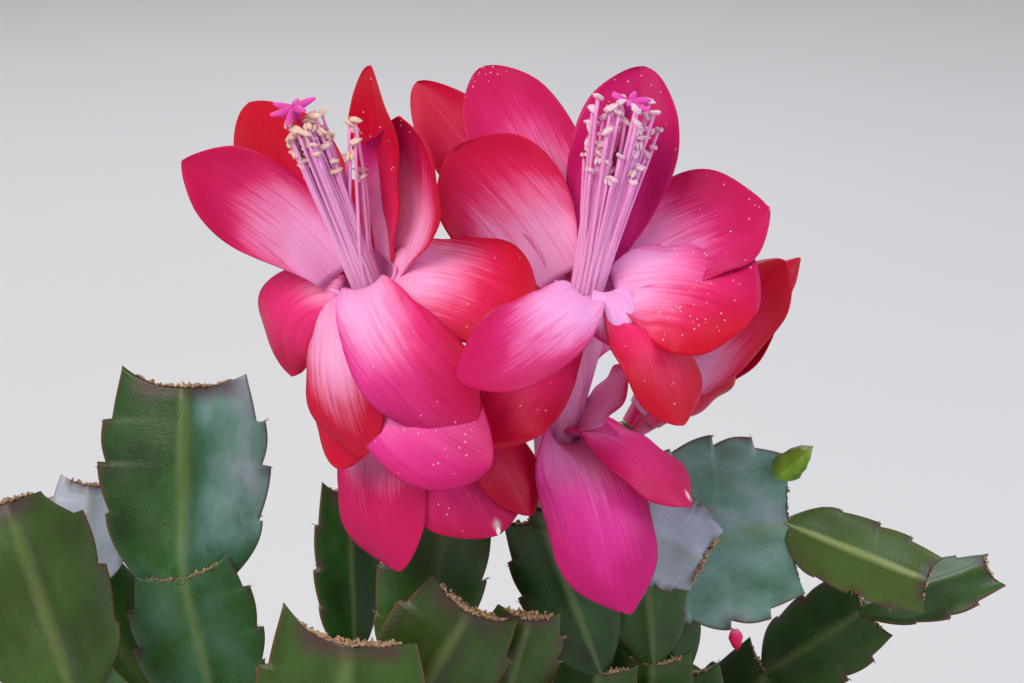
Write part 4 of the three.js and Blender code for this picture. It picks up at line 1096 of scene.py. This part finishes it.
def corky_end(j, strength, draw):
    """A rough strip over the end of joint j, and loose crumbs on it."""
    inside = np.abs(JOINT_COLUMNS) <= 0.8
    shift = [j.along * draw.uniform(-0.2, 0.25) for _ in range(CORD_POINTS)]
    path = smooth_path(j.end[inside], CORD_POINTS) + np.array(shift)
    turn = np.linspace(0, 2 * math.pi, 10, endpoint=False)
    taper = np.sin(np.linspace(0.25, math.pi - 0.25, CORD_POINTS)) ** 0.4
    skin = np.interp(np.linspace(0, 1, CORD_POINTS), np.linspace(0, 1, inside.sum()), j.thick[inside])
    rings = []
    for point, share, thick in zip(path, taper, skin):
        deep = strength * share * draw.uniform(0.35, 1.2)
        wide = min(1.1 * thick + 0.15, 1.2) * share
        rough = np.array([draw.uniform(0.7, 1.3) for _ in turn])
        rings.append(point + (np.cos(turn) * deep * rough)[:, None] * j.along
                     + (np.sin(turn) * wide * rough)[:, None] * j.out)
    light = np.where(np.cos(turn) > 0.2, 0.75, 0.1)[None, :]
    bodies = [ringed(np.array(rings), CORK_FINISH, light=light)]
    for _ in range(int(CRUMBS * strength)):
        k = draw.randrange(2, CORD_POINTS - 2)
        spot = path[k] + j.along * taper[k] * strength * draw.uniform(0.3, 1.0)
        spot = spot + j.out * draw.uniform(-1.1, 1.1) * taper[k]
        way = (draw.uniform(-1, 1), draw.uniform(-1, 1), draw.uniform(-1, 1))
        long, wide, light = draw.uniform(0.5, 1.2), draw.uniform(0.35, 0.7), draw.uniform(0.5, 1)
        bodies.append(lump(spot, way, long, wide, draw, rough=0.3, finish=CORK_FINISH, light=light))
    return bodies


def bristles(j, draw):
    """Stiff hairs in each notch of joint j."""
    hairs = []
    for spot, way in j.notches:
        for _ in range(BRISTLES):
            lean = unit(way + j.along * draw.uniform(0.2, 1.2) + j.out * draw.uniform(-0.5, 0.5))
            root = spot - way * 0.6
            tip = root + lean * draw.uniform(0.9, 1.6)
            few = [root, mix(root, tip, 0.6), tip]
            hairs.append(along_path(few, BRISTLE_RADII, 4, CORK_FINISH, light=0.7))
    return hairs


print("up to", CRUMBS, "crumbs on an end, and", BRISTLES, "bristles in a notch")

# %% The old woody first joint
SOIL_TOP = 94  # mm above the floor
FOOT_WIDTH = 5
FOOT_DEPTH = 9
WOOD_RIDGE = 2
WOOD_MARGIN = 1.1


def trunk(foot, to, width, face, draw):
    """Straight up out of the soil at foot, then leaning to its end at to."""
    surface = np.array([foot[0], foot[1], SOIL_TOP + 1.0])
    to = np.asarray(to, float)
    few = [surface - [0, 0, FOOT_DEPTH + 1], surface, mix(surface, to, 0.55), to]
    s = np.linspace(0, 1, 34)
    middle = np.array([np.interp(s * 3, range(4), [p[k] for p in few]) for k in range(3)]).T
    wide = np.interp(s * 3, range(4), [FOOT_WIDTH * 0.8, FOOT_WIDTH, width, width * 0.75])
    wide = wide * np.array([draw.uniform(0.93, 1.05) for _ in s])
    side = unit(np.cross(face, (0, 0, 1)))
    out = np.cross(side, (0, 0, 1))
    t = np.linspace(-1, 1, 11)
    rough = np.array([[draw.uniform(-0.12, 0.12) for _ in t] for _ in s])
    thick = mix(WOOD_RIDGE, WOOD_MARGIN, np.abs(t)) * (1 - 0.6 * np.abs(t) ** 6) + rough
    flat = middle[:, None] + (wide[:, None] / 2 * t)[..., None] * side
    return slab(flat + thick[..., None] * out, flat - thick[..., None] * out, across=t[None] * 0.6,
                up=s[:, None], x_mm=wide[:, None] / 2 * t, y_mm=(s * 40)[:, None] + 0 * t, tone=0.3,
                wood=mix(1.2, 0.55, s)[:, None], areole=0.2, chance=draw.random())


print("the first joint of a stem stands", FOOT_DEPTH, "mm deep in the soil")

# %% [markdown]
# ## The plan of the stems
#
# The stems in front were placed by the photograph, each joint where its picture is. A stem is a list of the
# ends of its joints, from the soil up, the width of each joint, and the way each looks. Chance alone could
# grow them, but then no joint would be where the picture shows it. Some joints carry a second one on the
# same end: a fork. The last numbers are for the look: the tone of the outer joints, how olive they are, how
# thick the cork at the end is, and how the horns stand out.

# %% Stems placed by the photograph
FORWARD = (0, -1, 0.3)
OVARY_LENGTH = 9
BELOW_OVARY = 3.4  # from there to the end of the last joint
OVERLAP = 1.5  # how far a joint reaches back into the one that carries it
FIT = 0.3  # the gap that the solid model leaves between two bodies


def under(flower):
    """The end of the stem that carries a flower."""
    return tuple(flower.base - flower.axis * (OVARY_LENGTH + BELOW_OVARY))


def stem(points, widths, faces, **more):
    plain = dict(tones=(), tone=0.35, olive=0.0, cork=0.5, horn=1.0, fold=0.0, neck=0.1, tip=0.74, lit=0.0,
                 rib_light=0.25, forks=(), flower=None)
    return SimpleNamespace(points=[np.array(p, float) for p in points], widths=widths, faces=faces,
                           **{**plain, **more})


# a low tone paints the shade on a joint that stands behind others, and a high one the sky's reflection in its
# wax
STEMS = {
    "stem_left_upright": stem(
        [(-14, -4, 94), (-34, -14, 122), (-52, -24, 152), (-58, -22, 182), (-58, -10, 217)],
        [10, 24, 25, 33], [(0.5, -0.6, 0.8), (0.4, -1, 0.5), (0.1, -1, 0.3), (0.1, -1, 0.35)],
        tones=(0.3, 0.3, 0.5), tone=0.5, lit=0.65, cork=0.5, horn=(1.6, 1.0), fold=-0.22, neck=0.5),
    "stem_left_front": stem(
        [(-16, -20, 94), (-34, -36, 114), (-58, -47, 136), (-76, -48, 167), (-89, -36, 203)],
        [10, 24, 26, 27], [(0.3, -1, 0.9), (0.3, -1, 0.9), (0.3, -1, 0.6), (0.25, -1, 0.3)],
        tone=0.19, olive=0.22, cork=0.5, horn=0.0, tip=0.5),
    "stem_left_back": stem(
        [(-20, 10, 94), (-46, 8, 116), (-68, 5, 142), (-81, -3, 172), (-79, 2, 192)],
        [10, 22, 24, 17], [(0.3, -1, 0.9), (0.3, -1, 0.9), (0.3, -1, 0.6), (0.1, -1, 0.35)],
        tone=1.1, cork=0.3),
    "stem_front_horned": stem(
        [(-6, -34, 94), (-18, -54, 116), (-27, -63, 146), (-24, -56, 183)],
        [10, 26, 34], [(0.1, -1, 1.2), (0.1, -1, 0.9), (0, -1, 0.2)],
        tone=0.24, olive=0.2, cork=0.8, horn=(2.4, 0.3)),
    "stem_front_corky": stem(
        [(4, -30, 94), (-4, -44, 124), (-19, -47, 156), (-2, -45, 185)],
        [10, 22, 25], [(0.1, -1, 0.7), (0, -1, 0.4), (0.1, -1, 0.1)],
        tone=0.1, olive=0.2, cork=0.8),
    "stem_flower_left": stem(
        [(-6, -18, 94), (-10, -27, 128), (-13, -34, 165), under(LEFT)],
        [10, 20, 21], [FORWARD, FORWARD, (0.2, -1, 0)], tone=0.4, olive=0.2, flower=LEFT),
    "stem_middle_back": stem(
        [(-8, 4, 94), (-20, -4, 126), (-26, -15, 162), (-27, -7, 194)],
        [10, 20, 14], [FORWARD, FORWARD, (0.6, -1, 0.1)], tone=0.15, cork=0.3),
    "stem_middle_brown": stem(
        [(2, -8, 94), (7, -23, 128), (4, -37.5, 162), (9, -39, 181)],
        [10, 14, 17], [FORWARD, FORWARD, (0.2, -1, 0.1)], tone=0.15, olive=0.2, cork=0.7),
    "stem_flower_right": stem(
        [(12, -20, 94), (17, -20, 129), (23, -24, 163), under(RIGHT)],
        [10, 20, 18], [FORWARD, FORWARD, (0.3, -1, 0.1)], tone=0.15, flower=RIGHT),
    "stem_right_pale": stem(
        [(20, -6, 94), (31, -11, 128), (34, -17.5, 162), (31, -20.5, 192), (43, -22.5, 186)],
        [10, 20, 16, 19], [FORWARD, FORWARD, (0.1, -1, 0.2), (-0.3, -1, 0.3)],
        tones=(0.3, 0.2, 0.2), tone=1.1, cork=0.7, neck=0.5),
    "stem_right_large": stem(
        [(24, 4, 94), (40, -3, 122), (40, -6, 154), (31, -9, 184), (61, -8, 187), (88.5, -10, 176)],
        [10, 22, 16, 38, 16], [FORWARD, FORWARD, (0.1, -1, 0.2), (0.1, -1, 0.3), (0.1, -1, 0.7)],
        tones=(0.3, 0.25, 0.25, 0.78), tone=0.3, olive=0.45, cork=0.25, rib_light=0.9,
        forks=[dict(at=4, to=(65, -8, 203.5), width=6.5, face=FORWARD, shift=11, young=True)]),
    "stem_right_far": stem(
        [(16, 18, 94), (40, 16, 118), (60, 12, 146), (79, 6, 163), (104, 8, 171)],
        [10, 22, 20, 18], [FORWARD, (-0.1, -1, 0.6), (-0.1, -1, 0.7), (0.1, -0.2, 1)],
        tone=0.3, olive=0.1, cork=0.3),
    "stem_bud": stem(
        [(6, 8, 94), (14, 6, 128), (23, 5, 163), under(BUD)],
        [10, 20, 18], [FORWARD, FORWARD, (1, -0.3, -0.4)], tone=0.3, flower=BUD),
}
print(len(STEMS), "stems placed by the photograph")

# %% [markdown]
# ## The rest of the crown
#
# The photograph shows only the heart of the plant. Round it, seven more stems arch out over the rim of the
# pot and hang, each forked at its last joint, as a plant of this age does. They are placed by a rule: a
# bearing round the pot, the height of the arch, how far it reaches and how far its last joints hang.

# %% Stems that arch over the rim
FAN = [
    dict(bearing=62, foot=26, top=132, reach=100, hang=40, bow=6),
    dict(bearing=102, foot=20, top=124, reach=110, hang=54, bow=-5),
    dict(bearing=146, foot=28, top=130, reach=104, hang=44, bow=7),
    dict(bearing=200, foot=34, top=114, reach=106, hang=50, bow=-3),
    dict(bearing=268, foot=41, top=126, reach=102, hang=58, bow=-6),
    dict(bearing=312, foot=34, top=120, reach=106, hang=46, bow=5),
    dict(bearing=350, foot=36, top=124, reach=108, hang=52, bow=-6),
]


def fan_stem(bearing, foot, top, reach, hang, bow):
    def at(r, z, swing=0):
        turn = math.radians(bearing + swing)
        return (r * math.cos(turn), r * math.sin(turn), z)

    knee = top - hang * 0.42
    shoulder = at(mix(foot, reach, 0.32), top - 6, bow * 0.4)
    crest = at(mix(foot, reach, 0.68), top + 2, bow)
    forks = [dict(at=3, to=at(reach + 11, knee - 28, bow - 10), width=22, face=at(1, 0.5), shift=-5),
             dict(at=3, to=at(reach + 15, knee - 22, bow + 10), width=21, face=at(1, 0.6), shift=5)]
    return stem([at(foot, SOIL_TOP), shoulder, crest, at(reach, knee, bow)], [10, 25, 26],
                [at(-0.8, 1), at(-0.1, 1), at(0.6, 1)], tone=0.4, cork=0.35, forks=forks)


for k, fan in enumerate(FAN):
    STEMS[f"stem_fan_{k + 1}"] = fan_stem(**fan)
print(len(FAN), "more stems round the sides and the back")

# %% Grow every stem
YOUNG_FINISH = 2
THIN_CORK = 0.25  # the cork between two joints
BOSS = [(-5, 1.5), (-3, 1.9), (-0.6, 2.2), (0, 1.9)]  # the stub that an ovary sits on: height, radius


def forked_joint(plan, fork, draw):
    end = plan.points[fork["at"]]
    along = unit(end - plan.points[fork["at"] - 1])
    side = unit(np.cross(plan.faces[fork["at"] - 1], along))
    start = end + side * fork["shift"]
    to = np.array(fork["to"], float)
    start -= unit(to - start) * OVERLAP
    if fork.get("young"):
        return joint(start, to, fork["width"], fork["face"], draw, tone=0.6, horn=0.0, neck=0.4, tip=0.1,
                     finish=YOUNG_FINISH)
    return joint(start, to, fork["width"], fork["face"], draw, tone=plan.tone + draw.uniform(-0.1, 0.15),
                 cut_off=0.4)


def grow_stem(plan, seed):
    draw = random.Random(seed)
    bodies = [trunk(plan.points[0], plan.points[1], plan.widths[0], plan.faces[0], draw)]
    last = len(plan.points) - 2
    forked_at = {fork["at"] for fork in plan.forks}
    for i in range(1, last + 1):
        start, end = plan.points[i], plan.points[i + 1]
        ends_here = i == last and plan.flower is None and last + 1 not in forked_at
        own = {}
        if i == last:
            own = dict(tone=plan.tone, olive=plan.olive, horn=plan.horn, fold=plan.fold, neck=plan.neck,
                       tip=plan.tip, lit=plan.lit, rib_light=plan.rib_light)
        elif i < len(plan.tones):
            own = dict(tone=plan.tones[i])
        plain = dict(tone=0.22 + draw.uniform(-0.08, 0.12), olive=0.1)
        j = joint(start - unit(end - start) * OVERLAP, end, plan.widths[i], plan.faces[i], draw,
                  wood=0.5 if i == 1 else 0.0, cut_off=1.0 if ends_here else 0.0, **{**plain, **own})
        bodies += [j.skin, *bristles(j, draw)]
        bodies += corky_end(j, plan.cork if ends_here else THIN_CORK, draw)
    for fork in plan.forks:
        j = forked_joint(plan, fork, draw)
        bodies.append(j.skin)
        if not fork.get("young"):
            bodies += bristles(j, draw) + corky_end(j, THIN_CORK, draw)
    if plan.flower:
        boss = plan.flower.base - plan.flower.axis * (OVARY_LENGTH + 2 * FIT)
        bodies.append(round_profile(boss, plan.flower.axis, BOSS, 24, tone=0.3, areole=0.5, chance=0.4))
    return bodies


for k, (name, plan) in enumerate(STEMS.items()):
    make_piece(name.replace("stem", "leafy_stem"), grow_stem(plan, 100 + k), [SKIN, CORK, YOUNG_SKIN],
               [name])

# %% [markdown]
# ## Ovaries and the smallest bud
#
# Under each flower sits the ovary, a smooth green swelling that will be the fruit. And on the lower edge of
# the large joint on the right, a red bud no bigger than a grain of rice has just come out of its notch. They
# are all so smooth and round that a ball could be pulled into shape for each. A profile round an axis does
# it in one step, and at the size of the solid one.

# %% The ovaries
OVARY_RADIUS = 2.6
OVARY_SIDES = 32


def ovary(flower):
    low = -FIT - OVARY_LENGTH
    few = [(low, 1.6), (low + 0.8, 2.1), (low + 3, OVARY_RADIUS), (-4, 2.75), (-2, 2.73), (-0.8, 2.6),
           (-FIT, 2.2)]
    high = np.linspace(low, -FIT, 24)
    profile = list(zip(high, np.interp(high, *np.array(few).T)))
    share = np.linspace(0, 1, 24)[:, None]
    turn = np.linspace(0, 2 * math.pi, OVARY_SIDES, endpoint=False)[None]
    return round_profile(flower.base, flower.axis, profile, OVARY_SIDES, up=share, tone=0.35 + 0.2 * share,
                         across=0.5 + 0.1 * np.cos(5 * turn), x_mm=OVARY_RADIUS * turn,
                         y_mm=share * OVARY_LENGTH, areole=0.55 * ease(0.75, 1, share), chance=0.3)


make_piece("left_flower_ovary", [ovary(LEFT)], [YOUNG_SKIN], ["flower_left_ovary"])
make_piece("right_flower_ovary", [ovary(RIGHT)], [YOUNG_SKIN], ["flower_right_ovary"])
make_piece("bud_ovary_green", [ovary(BUD)], [YOUNG_SKIN], ["bud_ovary"])

# %% The smallest bud
PLACE_ON_MARGIN = 0.58  # up its joint, where a notch is
SMALL_BUD = [(0, 0.7), (0.6, 1.1), (1.6, 1.5), (3.4, 0.9), (4.3, 0.1)]  # height, radius
SMALL_BUD_FULL = 4.4  # the height at which the colour of the tip would be reached


def smallest_bud():
    plan = STEMS["stem_right_large"]
    start, end = plan.points[3], plan.points[4]
    along = end - start
    length = np.linalg.norm(along)
    along = along / length
    face = np.array(plan.faces[3], float)
    out = unit(face - np.dot(face, along) * along)
    side = -np.cross(out, along)
    base = start + along * length * PLACE_ON_MARGIN + side * (plan.widths[3] / 2 + FIT)
    high = np.linspace(0, SMALL_BUD[-1][0], 14)
    profile = list(zip(high, np.interp(high, *np.array(SMALL_BUD).T)))
    share = (high / SMALL_BUD_FULL)[:, None]
    return round_profile(base, side, profile, 20, up=share, across=0.3, red=1.0, pale=0.1, dark=0.2,
                         y_mm=share * 4, x_mm=0.0, chance=0.6)


make_piece("smallest_bud", [smallest_bud()], [PETAL], ["bud_small"])

# %% [markdown]
# ## Terracotta pot
#
# The pot is unglazed terracotta: red clay, turned on a wheel and fired at about 1000 degrees. It has a
# rough, matt, open surface with fine rings left by the turning, and watering leaves a pale bloom of lime on
# it. A cylinder with its rings pushed in and out could make it. We turn it from a profile, like the real
# one, because every wall and edge then has its true size. Four drain holes are drilled through its floor
# afterwards.

# %% Fired clay
CLAY_GRIT = 0.6  # mm
CLAY_RELIEF = 0.25 * MM
FIRING_CLOUD = 35  # mm across a lighter or darker cloud, left by the fire
THROWING_RINGS = 2.4  # mm from ring to ring
FULL_TURN = 6.283  # radians
LIME_TOP = 60 * MM  # the lime is thickest at the foot and thins out up to here
LIME_FOOT = 5 * MM


def fired_clay(name, clay, deep, dust, lime):
    material = new_finish(name)
    spot = add(material, "TexCoord", output="Object")
    grit = add(material, "TexNoise", {"Vector": spot, "Scale": 1 / (CLAY_GRIT * MM), "Detail": 3.0})
    clouds = add(material, "TexNoise", {"Vector": spot, "Scale": 1 / (FIRING_CLOUD * MM), "Detail": 5.0,
                                        "Roughness": 0.6})
    height = add(material, "SeparateXYZ", [spot], output="Z")
    turns = add(material, "Math", [height, THROWING_RINGS * MM / FULL_TURN], operation="DIVIDE")
    turns = add(material, "Math", [clouds, 1.5, turns], operation="MULTIPLY_ADD")
    rings = add(material, "Math", [turns], operation="SINE")
    dusty = add(material, "Math", [grit, 0.35], operation="MULTIPLY")
    limed = add(material, "MapRange", {"Value": height, "From Min": LIME_TOP, "From Max": LIME_FOOT,
                                       "To Max": 0.3})
    limed = add(material, "Math", [clouds, 2.6, limed], operation="MULTIPLY_ADD")
    limed = add(material, "MapRange", {"Value": limed, "From Min": 1.35, "From Max": 1.8, "To Max": 0.55})
    shade = colour(clay)
    for share, over in ((clouds, deep), (dusty, dust), (limed, lime)):
        shade = add(material, "Mix", {SHARE: share, FIRST: shade, SECOND: colour(over)}, output=MIXED,
                    data_type="RGBA")
    relief = add(material, "Math", [rings, 0.35, grit], operation="MULTIPLY_ADD")
    relief = add(material, "Bump", {"Height": relief, "Strength": 0.45, "Distance": CLAY_RELIEF})
    matt = add(material, "Math", [grit, 0.15, 0.78], operation="MULTIPLY_ADD")
    return finished(material, {"Base Color": shade, "Roughness": matt, "Normal": relief, "IOR": 1.5})


TERRACOTTA = fired_clay("terracotta_unglazed_fired", clay="#b9683f", deep="#a15330", dust="#d59a72",
                        lime="#d9c6b2")
print("one finish for the pot")

# %% Turn the pot and drill it
POT_HEIGHT = 105  # mm, like the sizes that follow
POT_FOOT_RADIUS = 44
POT_RIM_RADIUS = 65
POT_RIM_HEIGHT = 24
POT_RIM_STEP = 3.5
POT_WALL = 6
POT_FLOOR = 8
DRAIN_HOLES = 4
DRAIN_RADIUS = 5
DRAIN_CIRCLE = 24


def pot_radius(z):
    return mix(POT_FOOT_RADIUS, POT_RIM_RADIUS - POT_RIM_STEP, z / POT_HEIGHT)


def rounded(profile, radius=0.9, steps=5):
    """The same profile with each corner between its two ends rounded."""
    corners = np.array(profile, float)
    found = [corners[0]]
    for before, corner, after in zip(corners, corners[1:], corners[2:]):
        a = corner + unit(before - corner) * min(radius, np.linalg.norm(before - corner) / 2.2)
        b = corner + unit(after - corner) * min(radius, np.linalg.norm(after - corner) / 2.2)
        found += [(1 - u) ** 2 * a + 2 * u * (1 - u) * corner + u**2 * b for u in np.linspace(0, 1, steps)]
    return [tuple(p) for p in [*found, corners[-1]]]


def turn_pot():
    start = POT_HEIGHT - POT_RIM_HEIGHT
    inner = pot_radius(POT_HEIGHT) - POT_WALL
    profile = rounded([(0, 1), (0, POT_FOOT_RADIUS - 0.3), (start, pot_radius(start)),
                       (start + 1.2, pot_radius(start) + POT_RIM_STEP), (POT_HEIGHT, POT_RIM_RADIUS),
                       (POT_HEIGHT, inner), (POT_FLOOR, pot_radius(POT_FLOOR) - POT_WALL), (POT_FLOOR, 1)])
    clay = round_profile((0, 0, 0), (0, 0, 1), profile, 144)
    pot = make_piece("terracotta_pot", [clay], [TERRACOTTA], ["pot"])
    for k in range(DRAIN_HOLES):
        turn = 2 * math.pi * (k + 0.5) / DRAIN_HOLES
        drill_into(pot, DRAIN_CIRCLE * math.cos(turn), DRAIN_CIRCLE * math.sin(turn))
    return pot


def drill_into(pot, x, y):
    """Cuts one round hole through the floor and keeps the result as the pot's own mesh."""
    bpy.ops.mesh.primitive_cylinder_add(vertices=32, radius=DRAIN_RADIUS * MM, depth=(POT_FLOOR + 6) * MM,
                                        location=(x * MM, y * MM, POT_FLOOR / 2 * MM))
    drill = bpy.context.object
    cut = pot.modifiers.new("drain_hole", "BOOLEAN")
    cut.object = drill
    cut.operation = "DIFFERENCE"
    cut.solver = "EXACT"
    bpy.context.view_layer.update()
    whole = pot.evaluated_get(bpy.context.evaluated_depsgraph_get())
    drilled = bpy.data.meshes.new_from_object(whole)
    pot.modifiers.clear()
    pot.data = drilled
    bpy.data.objects.remove(drill)


pot = turn_pot()
pot.data.materials.clear()
pot.data.materials.append(TERRACOTTA)
print("the pot has", len(pot.data.polygons), "faces after drilling")

# %% [markdown]
# ## Potting mix
#
# The soil is a moist mix of dark peat and bark with white perlite. It is never smooth: crumbs a millimetre
# or two across lie on it, bark chips stick out, and the perlite shows as white grains. A rough sheet alone
# would look like one crust. So the sheet closes round the stems, and small lumps lie half sunk in it and
# throw their own shadows.

# %% Finishes for the mix
BIT_RELIEF = 0.5 * MM
PATCH_STEPS = 3  # a lighter or darker patch is this many bits wide


def loose_matter(name, dark, light, bit_mm, roughness):
    material = new_finish(name)
    spot = add(material, "TexCoord", output="Object")
    bits = add(material, "TexNoise", {"Vector": spot, "Scale": 1 / (bit_mm * MM), "Detail": 5.0,
                                      "Roughness": 0.7})
    patches = add(material, "TexVoronoi", {"Vector": spot, "Scale": 1 / (bit_mm * PATCH_STEPS * MM)},
                  output="Color")
    patches = add(material, "SeparateXYZ", [patches], output="X")
    share = add(material, "Math", [bits, 0.6], operation="MULTIPLY")
    share = add(material, "Math", [patches, 0.5, share], operation="MULTIPLY_ADD")
    shade = add(material, "Mix", {SHARE: share, FIRST: colour(dark), SECOND: colour(light)}, output=MIXED,
                data_type="RGBA")
    relief = add(material, "Bump", {"Height": bits, "Strength": 0.8, "Distance": BIT_RELIEF})
    return finished(material, {"Base Color": shade, "Roughness": roughness, "Normal": relief, "IOR": 1.4})


PEAT = loose_matter("peat_moist_dark", "#1d140e", "#4a3626", 1.6, 0.85)
BARK = loose_matter("bark_chips_brown", "#4a2f1c", "#8a6343", 2.5, 0.8)
PERLITE = loose_matter("perlite_white_grains", "#cfcabf", "#f3f1ea", 1.2, 0.95)
print("three finishes for the mix")

# %% Lay the soil and scatter the loose bits
SOIL_CROWN = 2
SOIL_EDGE = SOIL_TOP - SOIL_CROWN


def soil_height(r):
    return mix(SOIL_TOP, SOIL_EDGE, r / (pot_radius(SOIL_EDGE) - POT_WALL))


def lay_soil(draw):
    low = POT_FLOOR + FIT
    wall = [(z, pot_radius(z) - POT_WALL - FIT) for z in np.linspace(low, SOIL_EDGE, 8)]
    top = [(float(soil_height(r)), r) for r in np.linspace(wall[-1][1], 0.6, 46)]
    soil = round_profile((0, 0, 0), (0, 0, 1), [(low, 1), *wall, *top[1:]], 120)
    surface = soil.points[:, 2] > SOIL_EDGE - 0.01
    soil.points[surface, 2] += np.array([draw.uniform(-0.75, 0.55) for _ in range(int(surface.sum()))])
    return soil


def scatter(draw, count, long, wide, thick, sink, level, rough):
    """Lumps of that size, in mm, half sunk in the soil all over the pot."""
    bits = []
    for _ in range(count):
        r = (pot_radius(SOIL_EDGE) - POT_WALL - 3.5) * math.sqrt(draw.random())
        turn = draw.uniform(0, 2 * math.pi)
        size = draw.uniform(0.6, 1.3)
        spot = (r * math.cos(turn), r * math.sin(turn), float(soil_height(r)) + sink * size)
        way = (math.cos(turn * 7), math.sin(turn * 7), draw.uniform(-0.35, 0.35))
        bits.append(lump(spot, way, long * size, wide * size, draw, rough, level, thick * size))
    return bits


chance_soil = random.Random(41)
make_piece("soil_surface", [lay_soil(chance_soil)], [PEAT], ["soil"])
make_piece("soil_crumbs", scatter(chance_soil, 620, 2.2, 1.7, 1.4, 0.2, 1, 0.3), [PEAT])
make_piece("bark_chips", scatter(chance_soil, 130, 7, 3.4, 1.3, 0.35, 2, 0.22), [BARK])
make_piece("perlite_grains", scatter(chance_soil, 110, 2.6, 2.3, 2.1, 0.5, 2, 0.2), [PERLITE])

# %% [markdown]
# ## Floor and light
#
# The plant stands on a plain pale floor under soft studio light. A picture of a sky could light it, but
# three soft boxes are easier to aim and to understand. A big soft box high on the left is the sun behind a
# thin cloud: it models the petals and puts the pale shine on the joints. A cool one on the right is the blue
# of the sky. A weak one behind parts the flowers from the background.

# %% The floor
FLOOR_RADIUS = 8.0  # metres
FLOOR_SIDES = 64
FLOOR_CLOUD = 1000 / 3  # mm across a soft patch of grey


def plain_floor(name):
    material = new_finish(name)
    spot = add(material, "TexCoord", output="Object")
    clouds = add(material, "TexNoise", {"Vector": spot, "Scale": 1 / (FLOOR_CLOUD * MM), "Detail": 2.0})
    shade = add(material, "Mix", {SHARE: clouds, FIRST: colour("#d9d8d6"), SECOND: colour("#dfdedc")},
                output=MIXED, data_type="RGBA")
    return finished(material, {"Base Color": shade, "Roughness": 0.8})


turns = np.linspace(0, 2 * math.pi, FLOOR_SIDES, endpoint=False)
floor_mesh = bpy.data.meshes.new("floor")
floor_mesh.from_pydata([(FLOOR_RADIUS * math.cos(a), FLOOR_RADIUS * math.sin(a), 0) for a in turns], [],
                       [list(range(FLOOR_SIDES))])
floor_mesh.materials.append(plain_floor("floor_matt_pale"))
floor = bpy.data.objects.new("floor", floor_mesh)
bpy.context.scene.collection.objects.link(floor)
print("a round floor,", 2 * FLOOR_RADIUS, "m across")

# %% The lights
def soft_box(name, place, size, watts, hex_code):
    """A square light at place, in metres, that looks at the flowers."""
    light = bpy.data.lights.new(name, "AREA")
    light.size = size
    light.energy = watts
    light.color = colour(hex_code)[:3]
    box = bpy.data.objects.new(name, light)
    box.location = place
    box.rotation_euler = (Vector(LOOK_AT) - Vector(place)).to_track_quat("-Z", "Y").to_euler()
    bpy.context.scene.collection.objects.link(box)
    return box


soft_box("key_light", (-0.7, -0.9, 1.25), 0.8, 17, "#fff6ec")
soft_box("sky_light", (1.1, -0.2, 0.9), 0.9, 9, "#dfeaff")
soft_box("back_light", (-0.2, 1.2, 1.1), 0.8, 7, "#f2f4ff")

world = bpy.data.worlds.new("studio")
world.use_nodes = True
world.node_tree.nodes["Background"].inputs["Color"].default_value = colour("#e6e8ec")
world.node_tree.nodes["Background"].inputs["Strength"].default_value = 0.46
bpy.context.scene.world = world
bpy.context.scene.view_settings.view_transform = "Standard"
print("three soft boxes and a pale room")

# %% [markdown]
# ## The solid model's box
#
# The dressed plant has to fill the same box as the solid one. The solid model's box is written down.

# %% Write down the solid model's box, and finish
print("solid model, mm:", [round(x / MM, 1) for corner in solid_box for x in corner])
